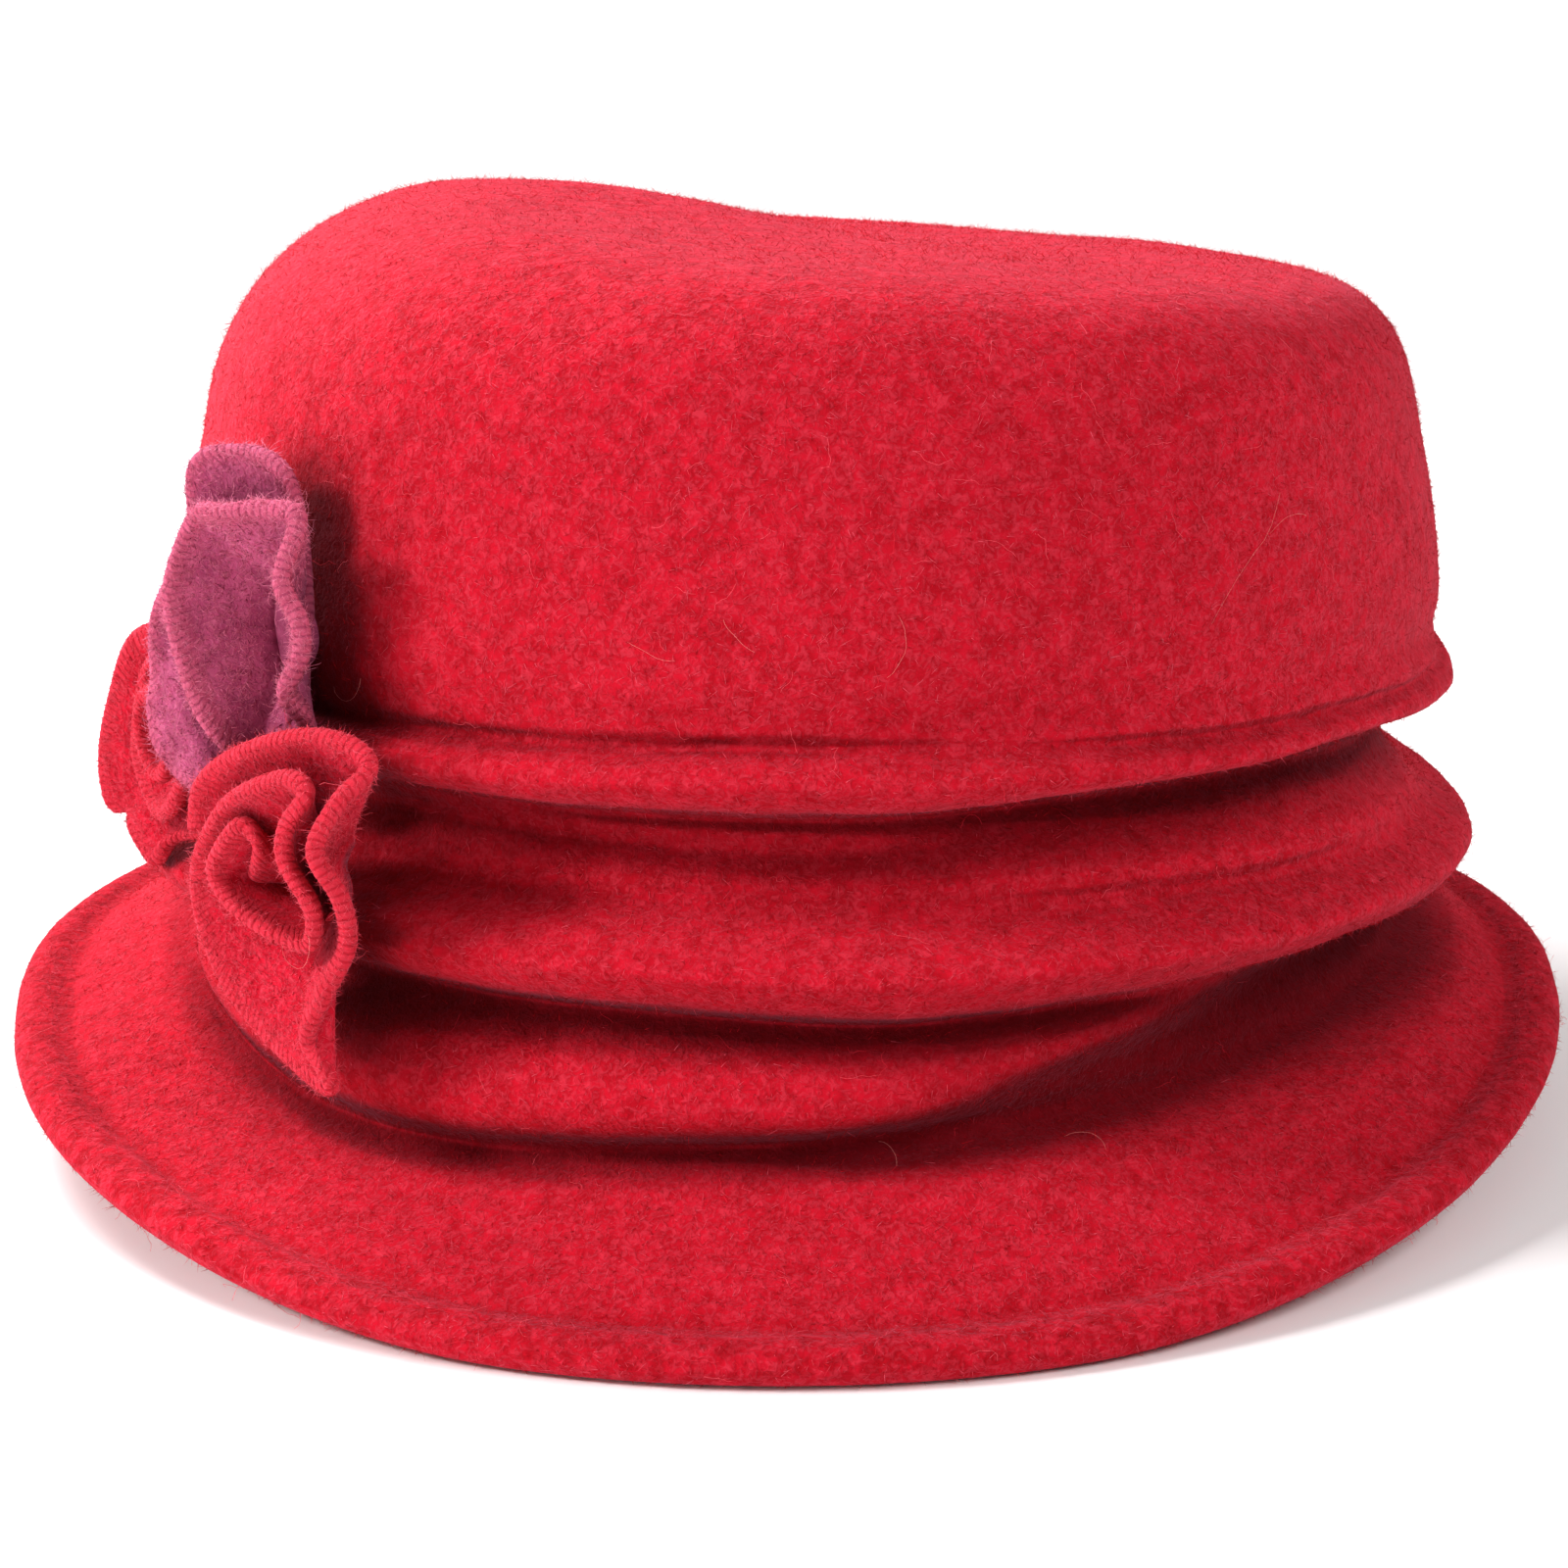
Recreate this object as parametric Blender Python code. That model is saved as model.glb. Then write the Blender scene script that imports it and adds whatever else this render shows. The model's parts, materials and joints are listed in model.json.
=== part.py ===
# A boiled-wool cloche hat, resting on its brim: one felt shell with a soft crown, three horizontal tucks and a
# bell brim with a turned hem, and three rosettes wound from felt strip on the wearer's right front.
# Metres, +Z up. The wearer faces -Y. Bearings are in degrees anticlockwise from +X, seen from above, so the
# wearer's left is at 0, the back at 90, the right at 180 and the front at 270.

import math

import bmesh
import bpy
from mathutils import Vector
from mathutils.bvhtree import BVHTree

# Head opening and cloth
HEAD_WIDTH = 0.181          # clear of felt, ear to ear, at the tightest crease
HEAD_DEPTH = 0.187          # the same, front to back
FELT = 0.003                # thickness of the boiled wool

# Heights at the front, each measured up from the line below
BRIM_DROP = 0.0200          # resting edge to the brim's root
LOW_BAND = 0.0165           # root to the crease under the middle tuck
MIDDLE_BAND = 0.0235        # that crease to the crease under the upper tuck
UPPER_BAND = 0.016          # upper tuck and the fine crease over it
CROWN_RISE = 0.060          # fine crease to the edge of the top
SIDE_LIFT = 0.014           # how far the sides of the brim curl up off the surface

# Reaches, measured out from the tightest crease
UPPER_REACH = 0.0110        # upper tuck, a narrow roll
MIDDLE_REACH = 0.0155       # middle tuck, a broad wave
LOW_REACH = 0.010           # soft swell over the brim's root
ROOT_REACH = 0.0095         # brim's root
CROWN_REACH = 0.0094        # foot of the crown wall
CROWN_TAPER = 0.0055        # crown wall draws in by this much towards the top

# Crown top
SHOULDER_RADIUS = 0.030
DOME = 0.0015               # middle of the top over its edge
SHOULDER_ANGLES = (90.0, 67.5, 45.0, 22.5, 0.0)     # its sections, in degrees up from level
TOP_SHARES = (0.30, 0.62, 0.86)                     # rings of the top, out from its middle
UNDER_SHARES = (0.86, 0.50)                         # the same inside the crown, from its edge

# Brim, from its root to its outer edge, and its turned hem
BRIM_SIDE = 0.026
BRIM_FRONT = 0.030
BRIM_BACK = 0.030
HEM_WIDTH = 0.0075
HEM_THICKNESS = 0.0052
CROWN_LEAN = 0.0034         # crown stands this far to the wearer's left of the brim's middle
ROOT_LEAN = 0.6             # share of the crown's lean that is left at the brim's root
REST_SHARE = 0.12           # share of the side lift's curve that lies flat on the surface
RIGHT_LIFT = 0.88           # side lift at the wearer's right, as a share of that at the left
GROOVE_RISE = 0.86          # brim's edge over the hem's underside, as a share of HEM_THICKNESS

# Rosettes
STRIP = 0.0022              # thickness of the rosettes' felt strip
PAD_RADIUS = 0.0105
PAD_SIDES = 24
PAD_THICKNESS = 0.0020
SEAT_GAP = 0.0003           # between pieces that rest on each other
ROSETTE_RADIUS = 0.024
ROSETTE_RISE = 0.0135       # rim of a rosette over its pad

AROUND = 56                 # segments round the hat
STRIP_STEP = 0.0042         # rim between two sections of a strip

# How the soft hat has settled, a row for each bearing. The lines are shifts in shares of SIDE_LIFT; the middle
# tuck, the low swell, the shoulder and the brim are shares of their own sizes.
SETTLING = (
    # bearing, root, low crease, high crease, fine crease, top edge, middle tuck, low swell, shoulder, brim
    (0, 0.60, -0.36, -0.25, -0.25, -0.46, 1.03, 0.00, 0.65, 0.955),
    (45, 0.28, -0.12, -0.12, -0.14, -0.42, 1.00, 0.20, 0.70, 0.98),
    (90, 0.00, 0.00, 0.00, 0.00, -0.25, 0.92, 0.60, 0.90, 1.03),
    (135, 0.22, -0.10, -0.12, -0.12, 0.10, 0.98, 0.50, 1.05, 0.98),
    (180, 0.56, -0.32, -0.32, -0.34, 0.35, 1.15, 0.30, 1.20, 0.955),
    (225, -0.30, 0.00, 0.00, -0.18, 0.20, 0.95, 0.95, 1.08, 1.08),
    (270, 0.00, 0.00, 0.00, 0.00, -0.10, 0.85, 1.00, 0.90, 1.03),
    (315, 0.12, -0.05, 0.22, 0.26, -0.34, 0.95, 0.15, 0.68, 1.03),
)
COLUMNS = ("root", "low_crease", "high_crease", "fine_crease", "edge", "middle", "swell", "shoulder", "brim")

WALL_ROWS = (
    # down the crown wall, drawn in as a share of CROWN_TAPER
    (0.40, 0.50),
    (0.80, 0.08),
)

# Outer skin of the band, from the fine crease down to the brim's root: how far down its zone, how far out as
# a share of the zone's tuck, and whether the inner skin follows it there.
UPPER_ROWS = (
    # down, out, followed inside
    (0.00, 0.74, True),
    (0.10, 0.93, False),
    (0.28, 1.00, False),
    (0.46, 0.97, False),
    (0.60, 0.84, False),
    (0.71, 0.48, False),
    (0.85, 0.14, False),
)
MIDDLE_ROWS = (
    (0.00, 0.00, True),
    (0.14, 0.13, False),
    (0.28, 0.42, True),
    (0.42, 0.78, False),
    (0.55, 0.97, True),
    (0.67, 1.00, False),
    (0.78, 0.93, True),
    (0.86, 0.70, False),
    (0.93, 0.38, False),
)
LOW_ROWS = (
    # down, wall out as a share of ROOT_REACH, swell as a share of LOW_REACH, followed inside
    (0.00, 0.26, 0.00, True),
    (0.16, 0.26, 0.55, False),
    (0.38, 0.32, 0.93, True),
    (0.62, 0.48, 0.95, False),
    (0.84, 0.72, 0.55, True),
    (1.00, 1.00, 0.05, False),
)
BRIM_ROWS = (
    # out, down, followed inside
    (0.16, 0.24, True),
    (0.45, 0.54, False),
    (0.75, 0.80, True),
    (1.00, 1.00, False),
)
HEM_ROWS = (
    # inward as a share of HEM_WIDTH, up as a share of HEM_THICKNESS
    (0.78, 1.00),
    (0.35, 0.98),
    (0.06, 0.72),
    (0.00, 0.38),
    (0.12, 0.09),
    (0.34, 0.00),
    (1.00, 0.00),
    (1.22, 0.06),
    (1.26, 0.30),
)

# Soft swells and dents of the crown's top, centred on a bearing and out from the axis as a share of the
# head's half-width; spread and push (upwards) are shares of CROWN_RISE.
DENTS = (
    # bearing, out, spread, push
    (180, 0.42, 0.50, 0.060),
    (350, 0.10, 0.30, -0.020),
)

# Rosettes, each with a row for each bend of its strip's rim, from the middle of the winding outwards. Across
# is towards the hat's front and up is up, both from the rosette's middle as shares of ROSETTE_RADIUS; the rise
# is a share of ROSETTE_RISE. Pinch draws the feet in sideways, into an upright valley, and a bow under 1 lets
# the strip rise before it flares.
ROSETTES = (
    {
        "name": "rosette_side", "colour": "red", "bearing": 213.0, "height": 0.066, "pinch": 1.0, "bow": 0.6,
        "bends": (
            # across, up, rise
            (0.00, 0.12, 0.55),
            (0.16, -0.05, 0.60),
            (0.00, -0.22, 0.60),
            (-0.20, -0.05, 0.65),
            (-0.12, 0.25, 0.65),
            (0.22, 0.30, 0.60),
            (0.38, -0.05, 0.55),
            (0.15, -0.45, 0.60),
            (-0.28, -0.66, 0.50),
            (-0.49, -0.22, 0.52),
            (-0.38, 0.20, 0.50),
            (-0.10, 0.48, 0.50),
            (0.30, 0.52, 0.45),
            (0.60, 0.15, 0.40),
            (0.55, -0.40, 0.40),
            (0.10, -0.85, 0.45),
            (-0.45, -0.98, 0.45),
            (-0.60, -0.76, 0.60),
            (-0.68, -0.62, 0.50),
            (-0.80, -0.58, 0.67),
            (-0.76, -0.22, 0.74),
            (-0.56, 0.22, 0.67),
            (-0.40, 0.55, 0.52),
            (-0.14, 0.66, 0.35),
        ),
    },
    {
        "name": "rosette_plum", "colour": "plum", "bearing": 226.5, "height": 0.085, "pinch": 0.6, "bow": 1.0,
        "bends": (
            (-0.05, -0.60, 0.45),
            (0.20, -0.56, 0.50),
            (0.35, -0.42, 0.52),
            (0.33, -0.24, 0.74),
            (0.48, -0.02, 0.62),
            (0.50, 0.20, 0.65),
            (0.42, 0.43, 0.81),
            (0.50, 0.77, 0.60),
            (0.28, 0.80, 0.66),
            (-0.02, 0.76, 0.80),
            (-0.30, 0.70, 0.80),
            (-0.52, 0.26, 0.89),
            (-0.45, -0.12, 0.89),
            (-0.28, -0.52, 0.80),
            (-0.10, -0.76, 0.45),
            (0.20, -0.76, 0.32),
            (0.52, -0.52, 0.28),
            (0.64, -0.08, 0.28),
            (0.66, 0.42, 0.28),
            (0.58, 0.86, 0.34),
            (0.24, 1.02, 0.42),
            (-0.20, 1.04, 0.48),
            (-0.48, 0.94, 0.70),
            (-0.64, 0.50, 0.45),
            (-0.74, 0.05, 0.72),
            (-0.74, -0.45, 0.80),
            (-0.64, -0.84, 0.75),
            (-0.36, -0.94, 0.60),
        ),
    },
    {
        "name": "rosette_front", "colour": "red", "bearing": 232.5, "height": 0.052, "pinch": 1.0, "bow": 0.6,
        "bends": (
            (-0.22, 0.10, 0.62),
            (-0.08, 0.30, 0.80),
            (-0.16, 0.43, 0.87),
            (-0.33, 0.27, 0.89),
            (-0.40, 0.10, 0.89),
            (-0.25, -0.05, 0.89),
            (0.04, -0.14, 0.87),
            (0.27, -0.14, 0.83),
            (0.35, 0.06, 0.89),
            (0.24, 0.31, 0.95),
            (0.26, 0.52, 0.95),
            (0.36, 0.72, 0.87),
            (0.16, 0.76, 0.83),
            (-0.26, 0.56, 0.80),
            (-0.58, 0.25, 0.70),
            (-0.74, -0.02, 0.60),
            (-0.75, -0.35, 0.52),
            (-0.56, -0.72, 0.46),
            (-0.12, -0.95, 0.54),
            (0.36, -1.04, 0.74),
            (0.26, -0.76, 0.82),
            (0.38, -0.50, 0.82),
            (0.53, -0.18, 0.70),
            (0.54, 0.14, 0.76),
            (0.48, 0.42, 0.95),
            (0.57, 0.66, 0.80),
            (0.68, 0.86, 0.50),
            (0.48, 0.98, 0.52),
            (0.10, 0.95, 0.60),
            (-0.38, 0.76, 0.60),
            (-0.66, 0.55, 0.60),
            (-0.76, 0.28, 0.55),
        ),
    },
)

FOOT_SHARE = 0.36           # a strip's foot lies this share of the way out from the middle to its rim
STRIP_LINES = (
    # across the strip from foot to rim, thickness as a share of STRIP: it is pressed thin where it is sewn
    (0.00, 0.45),
    (0.33, 0.85),
    (0.67, 1.00),
    (1.00, 1.00),
)
COLOURS = {
    # base colour, roughness
    "red": ((0.52, 0.012, 0.028, 1.0), 0.95),
    "plum": ((0.22, 0.025, 0.085, 1.0), 0.95),
}
SMOOTH_ANGLE = math.radians(50.0)


def clear_scene():
    for item in list(bpy.data.objects):
        bpy.data.objects.remove(item, do_unlink=True)


def catmull(before, start, end, after, t):
    # A smooth curve through start and end, at share t between them
    return 0.5 * (
        2.0 * start
        + (end - before) * t
        + (2.0 * before - 5.0 * start + 4.0 * end - after) * t * t
        + (3.0 * start - before - 3.0 * end + after) * t ** 3
    )


def settled(bearing):
    # The settling table's values at any bearing, as a dictionary of its columns
    rows = len(SETTLING)
    place = (bearing % 360.0) / (360.0 / rows)
    index = int(place)
    share = place - index
    picked = [SETTLING[(index + step) % rows] for step in (-1, 0, 1, 2)]
    values = {}
    for column, name in enumerate(COLUMNS, start=1):
        values[name] = catmull(*[row[column] for row in picked], share)
    return values


def by_quarter(bearing, front, left, back, right):
    # Blend of four values, one for each side of the hat
    across = math.cos(math.radians(bearing))
    along = math.sin(math.radians(bearing))
    return (
        front * max(-along, 0.0) ** 2
        + left * max(across, 0.0) ** 2
        + back * max(along, 0.0) ** 2
        + right * max(-across, 0.0) ** 2
    )


def line_heights(bearing):
    # Heights of the hat's lines at a bearing
    shift = settled(bearing)
    root = BRIM_DROP
    low = root + LOW_BAND
    high = low + MIDDLE_BAND
    fine = high + UPPER_BAND
    edge = fine + CROWN_RISE
    side = math.cos(math.radians(bearing)) ** 2
    curl = max(0.0, (side - REST_SHARE) / (1.0 - REST_SHARE))
    return {
        "hem": SIDE_LIFT * curl * by_quarter(bearing, 1.0, 1.0, 1.0, RIGHT_LIFT),
        "root": root + SIDE_LIFT * shift["root"],
        "low": low + SIDE_LIFT * shift["low_crease"],
        "high": high + SIDE_LIFT * shift["high_crease"],
        "fine": fine + SIDE_LIFT * shift["fine_crease"],
        "edge": edge + SIDE_LIFT * shift["edge"],
        "shift": shift,
    }


def between(top, bottom, down):
    return top + (bottom - top) * down


def outer_profile(bearing):
    # Outer skin from the top's rim down to the hem's raw edge: (reach, height, lean share, followed inside)
    line = line_heights(bearing)
    shift = line["shift"]
    shoulder = SHOULDER_RADIUS * shift["shoulder"]
    top_reach = CROWN_REACH - CROWN_TAPER
    wall_top = line["edge"] - shoulder
    points = []
    for degrees in SHOULDER_ANGLES:
        turn = math.radians(degrees)
        out = top_reach - shoulder + shoulder * math.cos(turn)
        up = wall_top + shoulder * math.sin(turn)
        points.append((out, up, 1.0, True))
    for down, drawn_in in WALL_ROWS:
        reach = CROWN_REACH - CROWN_TAPER * drawn_in
        points.append((reach, between(wall_top, line["fine"], down), 1.0, True))
    for down, out, inside in UPPER_ROWS:
        points.append((UPPER_REACH * out, between(line["fine"], line["high"], down), 1.0, inside))
    middle = MIDDLE_REACH * shift["middle"]
    low_wall = ROOT_REACH * LOW_ROWS[0][1]
    for down, out, inside in MIDDLE_ROWS:
        floor = low_wall * down
        reach = floor + (middle - floor) * out
        points.append((reach, between(line["high"], line["low"], down), 1.0, inside))
    swell = LOW_REACH * max(0.0, shift["swell"])
    for down, wall, bulge, inside in LOW_ROWS:
        reach = ROOT_REACH * wall + swell * bulge
        points.append((reach, between(line["low"], line["root"], down), between(1.0, ROOT_LEAN, down), inside))
    width = by_quarter(bearing, BRIM_FRONT, BRIM_SIDE, BRIM_BACK, BRIM_SIDE) * shift["brim"]
    edge_reach = ROOT_REACH + width
    groove_reach = edge_reach - HEM_WIDTH
    groove_height = line["hem"] + HEM_THICKNESS * GROOVE_RISE
    for out, down, inside in BRIM_ROWS:
        reach = ROOT_REACH + (groove_reach - ROOT_REACH) * out
        up = between(line["root"], groove_height, down)
        points.append((reach, up, between(ROOT_LEAN, 0.0, out), inside))
    for inward, up in HEM_ROWS:
        points.append((edge_reach - HEM_WIDTH * inward, line["hem"] + HEM_THICKNESS * up, 0.0, False))
    return points


def inner_profile(outer):
    # Inner skin, from the hem back up to the top: the followed rows of the outer skin, one felt inside it
    rows = [row for row in outer if row[3]]
    points = []
    for index, (reach, up, lean, _) in enumerate(rows):
        if index == 0:
            along = Vector((1.0, 0.0))
        elif index == len(rows) - 1:
            along = Vector((reach, up)) - Vector(rows[index - 1][:2])
        else:
            along = Vector(rows[index + 1][:2]) - Vector(rows[index - 1][:2])
        along.normalize()
        inward = Vector((along.y, -along.x))
        points.append((reach + inward.x * FELT, up + inward.y * FELT, lean))
    points.reverse()
    return points


def place(bearing, reach, up, lean):
    turn = math.radians(bearing)
    half_width = HEAD_WIDTH / 2 + FELT + reach
    half_depth = HEAD_DEPTH / 2 + FELT + reach
    return Vector((CROWN_LEAN * lean + half_width * math.cos(turn), half_depth * math.sin(turn), up))


def top_rings(rim, middle_height, shares):
    # Rings of the crown's top, from its rim towards the middle
    middle = Vector((CROWN_LEAN, 0.0, middle_height))
    rings = []
    for share in shares:
        ring = []
        for point in rim:
            spot = middle.lerp(point, share)
            spot.z += DOME * (1.0 - share ** 2)
            ring.append(spot)
        rings.append(ring)
    return rings, middle + Vector((0.0, 0.0, DOME))


def dented(point):
    # The top's soft swells and dents, the same for both skins
    top = BRIM_DROP + LOW_BAND + MIDDLE_BAND + UPPER_BAND + CROWN_RISE
    moved = point.copy()
    for bearing, out, spread, push in DENTS:
        turn = math.radians(bearing)
        reach = HEAD_WIDTH / 2 * out
        spot = Vector((CROWN_LEAN + reach * math.cos(turn), reach * math.sin(turn), top))
        near = math.exp(-(point - spot).length_squared / (CROWN_RISE * spread) ** 2)
        moved.z += CROWN_RISE * push * near
    return moved


def felt_material(colour):
    name = colour + "_felt"
    made = bpy.data.materials.get(name)
    if made is None:
        made = bpy.data.materials.new(name)
        made.use_nodes = True
        shader = made.node_tree.nodes["Principled BSDF"]
        shader.inputs["Base Color"].default_value = COLOURS[colour][0]
        shader.inputs["Roughness"].default_value = COLOURS[colour][1]
        shader.inputs["Metallic"].default_value = 0.0
    return made


def add_object(name, shape, colour):
    mesh = bpy.data.meshes.new(name)
    shape.to_mesh(mesh)
    shape.free()
    mesh.shade_smooth()
    mesh.set_sharp_from_angle(angle=SMOOTH_ANGLE)
    mesh.materials.append(felt_material(colour))
    made = bpy.data.objects.new(name, mesh)
    bpy.context.collection.objects.link(made)
    return made


def bridge(shape, first, second):
    # A band of quads between two closed rings of vertices, facing the way that the shape's outside is
    count = len(first)
    for index in range(count):
        following = (index + 1) % count
        shape.faces.new((first[index], second[index], second[following], first[following]))


def make_hat_body():
    bearings = [360.0 * index / AROUND for index in range(AROUND)]
    outer = [outer_profile(bearing) for bearing in bearings]
    inner = [inner_profile(profile) for profile in outer]

    def ring_of(profiles, row):
        return [
            place(bearing, profile[row][0], profile[row][1], profile[row][2])
            for bearing, profile in zip(bearings, profiles)
        ]

    outer_rings = [ring_of(outer, row) for row in range(len(outer[0]))]
    inner_rings = [ring_of(inner, row) for row in range(len(inner[0]))]
    middle_height = sum(point.z for point in outer_rings[0]) / AROUND
    top, top_middle = top_rings(outer_rings[0], middle_height, TOP_SHARES)
    under, under_middle = top_rings(inner_rings[-1], middle_height - FELT, UNDER_SHARES)

    shape = bmesh.new()
    rings = []
    for ring in top + outer_rings + inner_rings + under:
        rings.append([shape.verts.new(dented(point)) for point in ring])
    first_pole = shape.verts.new(dented(top_middle))
    last_pole = shape.verts.new(dented(under_middle))
    for first, second in zip(rings, rings[1:]):
        bridge(shape, first, second)
    for index in range(AROUND):
        following = (index + 1) % AROUND
        shape.faces.new((first_pole, rings[0][index], rings[0][following]))
        shape.faces.new((last_pole, rings[-1][following], rings[-1][index]))
    bmesh.ops.triangulate(shape, faces=shape.faces[:], quad_method="SHORT_EDGE")
    return add_object("hat_body", shape, "red")


def surface_of(objects):
    # One ray-cast surface of the finished pieces
    shape = bmesh.new()
    for item in objects:
        shape.from_mesh(item.data)
    tree = BVHTree.FromBMesh(shape)
    shape.free()
    return tree


def strip_bends(rows):
    # Across, up and rise of a strip at each of its sections, smooth through the table's rows
    last = len(rows) - 1
    sections = [rows[0]]
    for index in range(last):
        picked = [rows[min(max(index + step, 0), last)] for step in (-1, 0, 1, 2)]
        run = math.dist(rows[index][:2], rows[index + 1][:2]) * ROSETTE_RADIUS
        pieces = max(1, round(run / STRIP_STEP))
        for piece in range(1, pieces + 1):
            sections.append(tuple(catmull(*column, piece / pieces) for column in zip(*picked)))
    return sections


def rosette_frame(bearing, height, skin):
    # Where a rosette's pad sits: its middle on the skin, its outward direction, and right and up on its face
    turn = math.radians(bearing)
    outward = Vector((math.cos(turn), math.sin(turn), 0.0))
    right = Vector((-math.sin(turn), math.cos(turn), 0.0))
    rise = Vector((0.0, 0.0, 1.0))
    axis_point = Vector((CROWN_LEAN, 0.0, height))
    reaches = []
    for share in (0.0, 0.35, 0.7, 1.0):
        for step in range(PAD_SIDES):
            angle = 2.0 * math.pi * step / PAD_SIDES
            spot = (right * math.cos(angle) + rise * math.sin(angle)) * PAD_RADIUS * share
            hit = skin.ray_cast(axis_point + outward * HEAD_DEPTH + spot, -outward)[0]
            reaches.append((hit - axis_point).dot(outward))
    return axis_point + outward * (max(reaches) + SEAT_GAP), outward, right, rise


def rosette_sheet(entry, below):
    # Middle surface of a wound strip: a line of points from foot to rim for each of its sections, draped over
    # what lies below. Also the pad's middle, and the way that the rosette faces.
    middle, outward, right, rise = rosette_frame(entry["bearing"], entry["height"], below)

    def lowest_off(across, up):
        # Least distance off the pad's plane that clears what lies below there and a strip's width around
        reaches = [0.0]
        for over, along in ((0.0, 0.0), (STRIP, 0.0), (-STRIP, 0.0), (0.0, STRIP), (0.0, -STRIP)):
            start = middle + right * (across + over) + rise * (up + along) + outward * HEAD_DEPTH / 2
            hit = below.ray_cast(start, -outward)[0]
            if hit is not None:
                reaches.append((hit - middle).dot(outward) + SEAT_GAP + STRIP / 2)
        return max(reaches)

    sheet = []
    for across, up, high in strip_bends(entry["bends"]):
        rim = Vector((across, up)) * ROSETTE_RADIUS
        root = Vector((rim.x * entry["pinch"], rim.y)) * FOOT_SHARE
        line = []
        for share, _ in STRIP_LINES:
            spot = root.lerp(rim, share)
            off = PAD_THICKNESS / 2 + (ROSETTE_RISE * high - PAD_THICKNESS / 2) * share ** entry["bow"]
            if share > 0.0:
                off = max(off, lowest_off(spot.x, spot.y) + STRIP / 2)
            line.append(middle + right * spot.x + rise * spot.y + outward * off)
        sheet.append(line)
    return sheet, middle, outward


def fill_pockets(mesh):
    # The feet of the turns close in small pockets over the pad: only the outer shell stays
    shape = bmesh.new()
    shape.from_mesh(mesh)
    shells = []
    seen = set()
    for vert in shape.verts:
        if vert.index in seen:
            continue
        shell = [vert]
        seen.add(vert.index)
        for reached in shell:
            for edge in reached.link_edges:
                other = edge.other_vert(reached)
                if other.index not in seen:
                    seen.add(other.index)
                    shell.append(other)
        shells.append(shell)
    shells.sort(key=len)
    for shell in shells[:-1]:
        bmesh.ops.delete(shape, geom=shell, context="VERTS")
    shape.to_mesh(mesh)
    shape.free()


def make_rosette(entry, below):
    # One strip wound from the middle outwards, its foot fused to a round pad
    sheet, middle, outward = rosette_sheet(entry, below)
    steps = len(sheet) - 1
    shape = bmesh.new()
    loops = []
    for step, line in enumerate(sheet):
        ahead = sheet[min(step + 1, steps)]
        behind = sheet[max(step - 1, 0)]
        inside = []
        outside = []
        for row, point in enumerate(line):
            along = ahead[row] - behind[row]
            up_strip = line[min(row + 1, len(line) - 1)] - line[max(row - 1, 0)]
            half = along.cross(up_strip).normalized() * STRIP * STRIP_LINES[row][1] / 2
            inside.append(shape.verts.new(point - half))
            outside.append(shape.verts.new(point + half))
        loops.append(inside + outside[::-1])
    for first_loop, second_loop in zip(loops, loops[1:]):
        bridge(shape, first_loop, second_loop)
    shape.faces.new(loops[0])
    shape.faces.new(loops[-1][::-1])
    bmesh.ops.triangulate(shape, faces=shape.faces[:])
    bmesh.ops.recalc_face_normals(shape, faces=shape.faces[:])
    strip = add_object(entry["name"], shape, entry["colour"])

    pad_shape = bmesh.new()
    bmesh.ops.create_cone(
        pad_shape, cap_ends=True, segments=PAD_SIDES, radius1=PAD_RADIUS, radius2=PAD_RADIUS, depth=PAD_THICKNESS)
    pad = add_object(entry["name"] + "_pad", pad_shape, entry["colour"])
    pad.matrix_world = outward.to_track_quat("Z", "Y").to_matrix().to_4x4()
    pad.location = middle + outward * PAD_THICKNESS / 2

    union = strip.modifiers.new("pad", "BOOLEAN")
    union.operation = "UNION"
    union.object = pad
    union.solver = "EXACT"
    union.use_self = True
    bpy.context.view_layer.update()
    evaluated = strip.evaluated_get(bpy.context.evaluated_depsgraph_get())
    joined = bpy.data.meshes.new_from_object(evaluated)
    strip.modifiers.remove(union)
    fill_pockets(joined)
    strip.data = joined
    bpy.data.objects.remove(pad, do_unlink=True)
    return strip


def main():
    clear_scene()
    pieces = [make_hat_body()]
    for entry in ROSETTES:
        pieces.append(make_rosette(entry, surface_of(pieces)))
    return pieces


main()
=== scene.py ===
# Boiled-wool cloche with three wound-strip rosettes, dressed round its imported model.
# The wearer faces -Y. Bearings run anticlockwise from +X, seen from above:
# the wearer's left 0, back 90, right 180, front 270.

import json
import math

import bpy
import numpy as np
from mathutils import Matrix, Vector, noise
from mathutils.bvhtree import BVHTree

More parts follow.
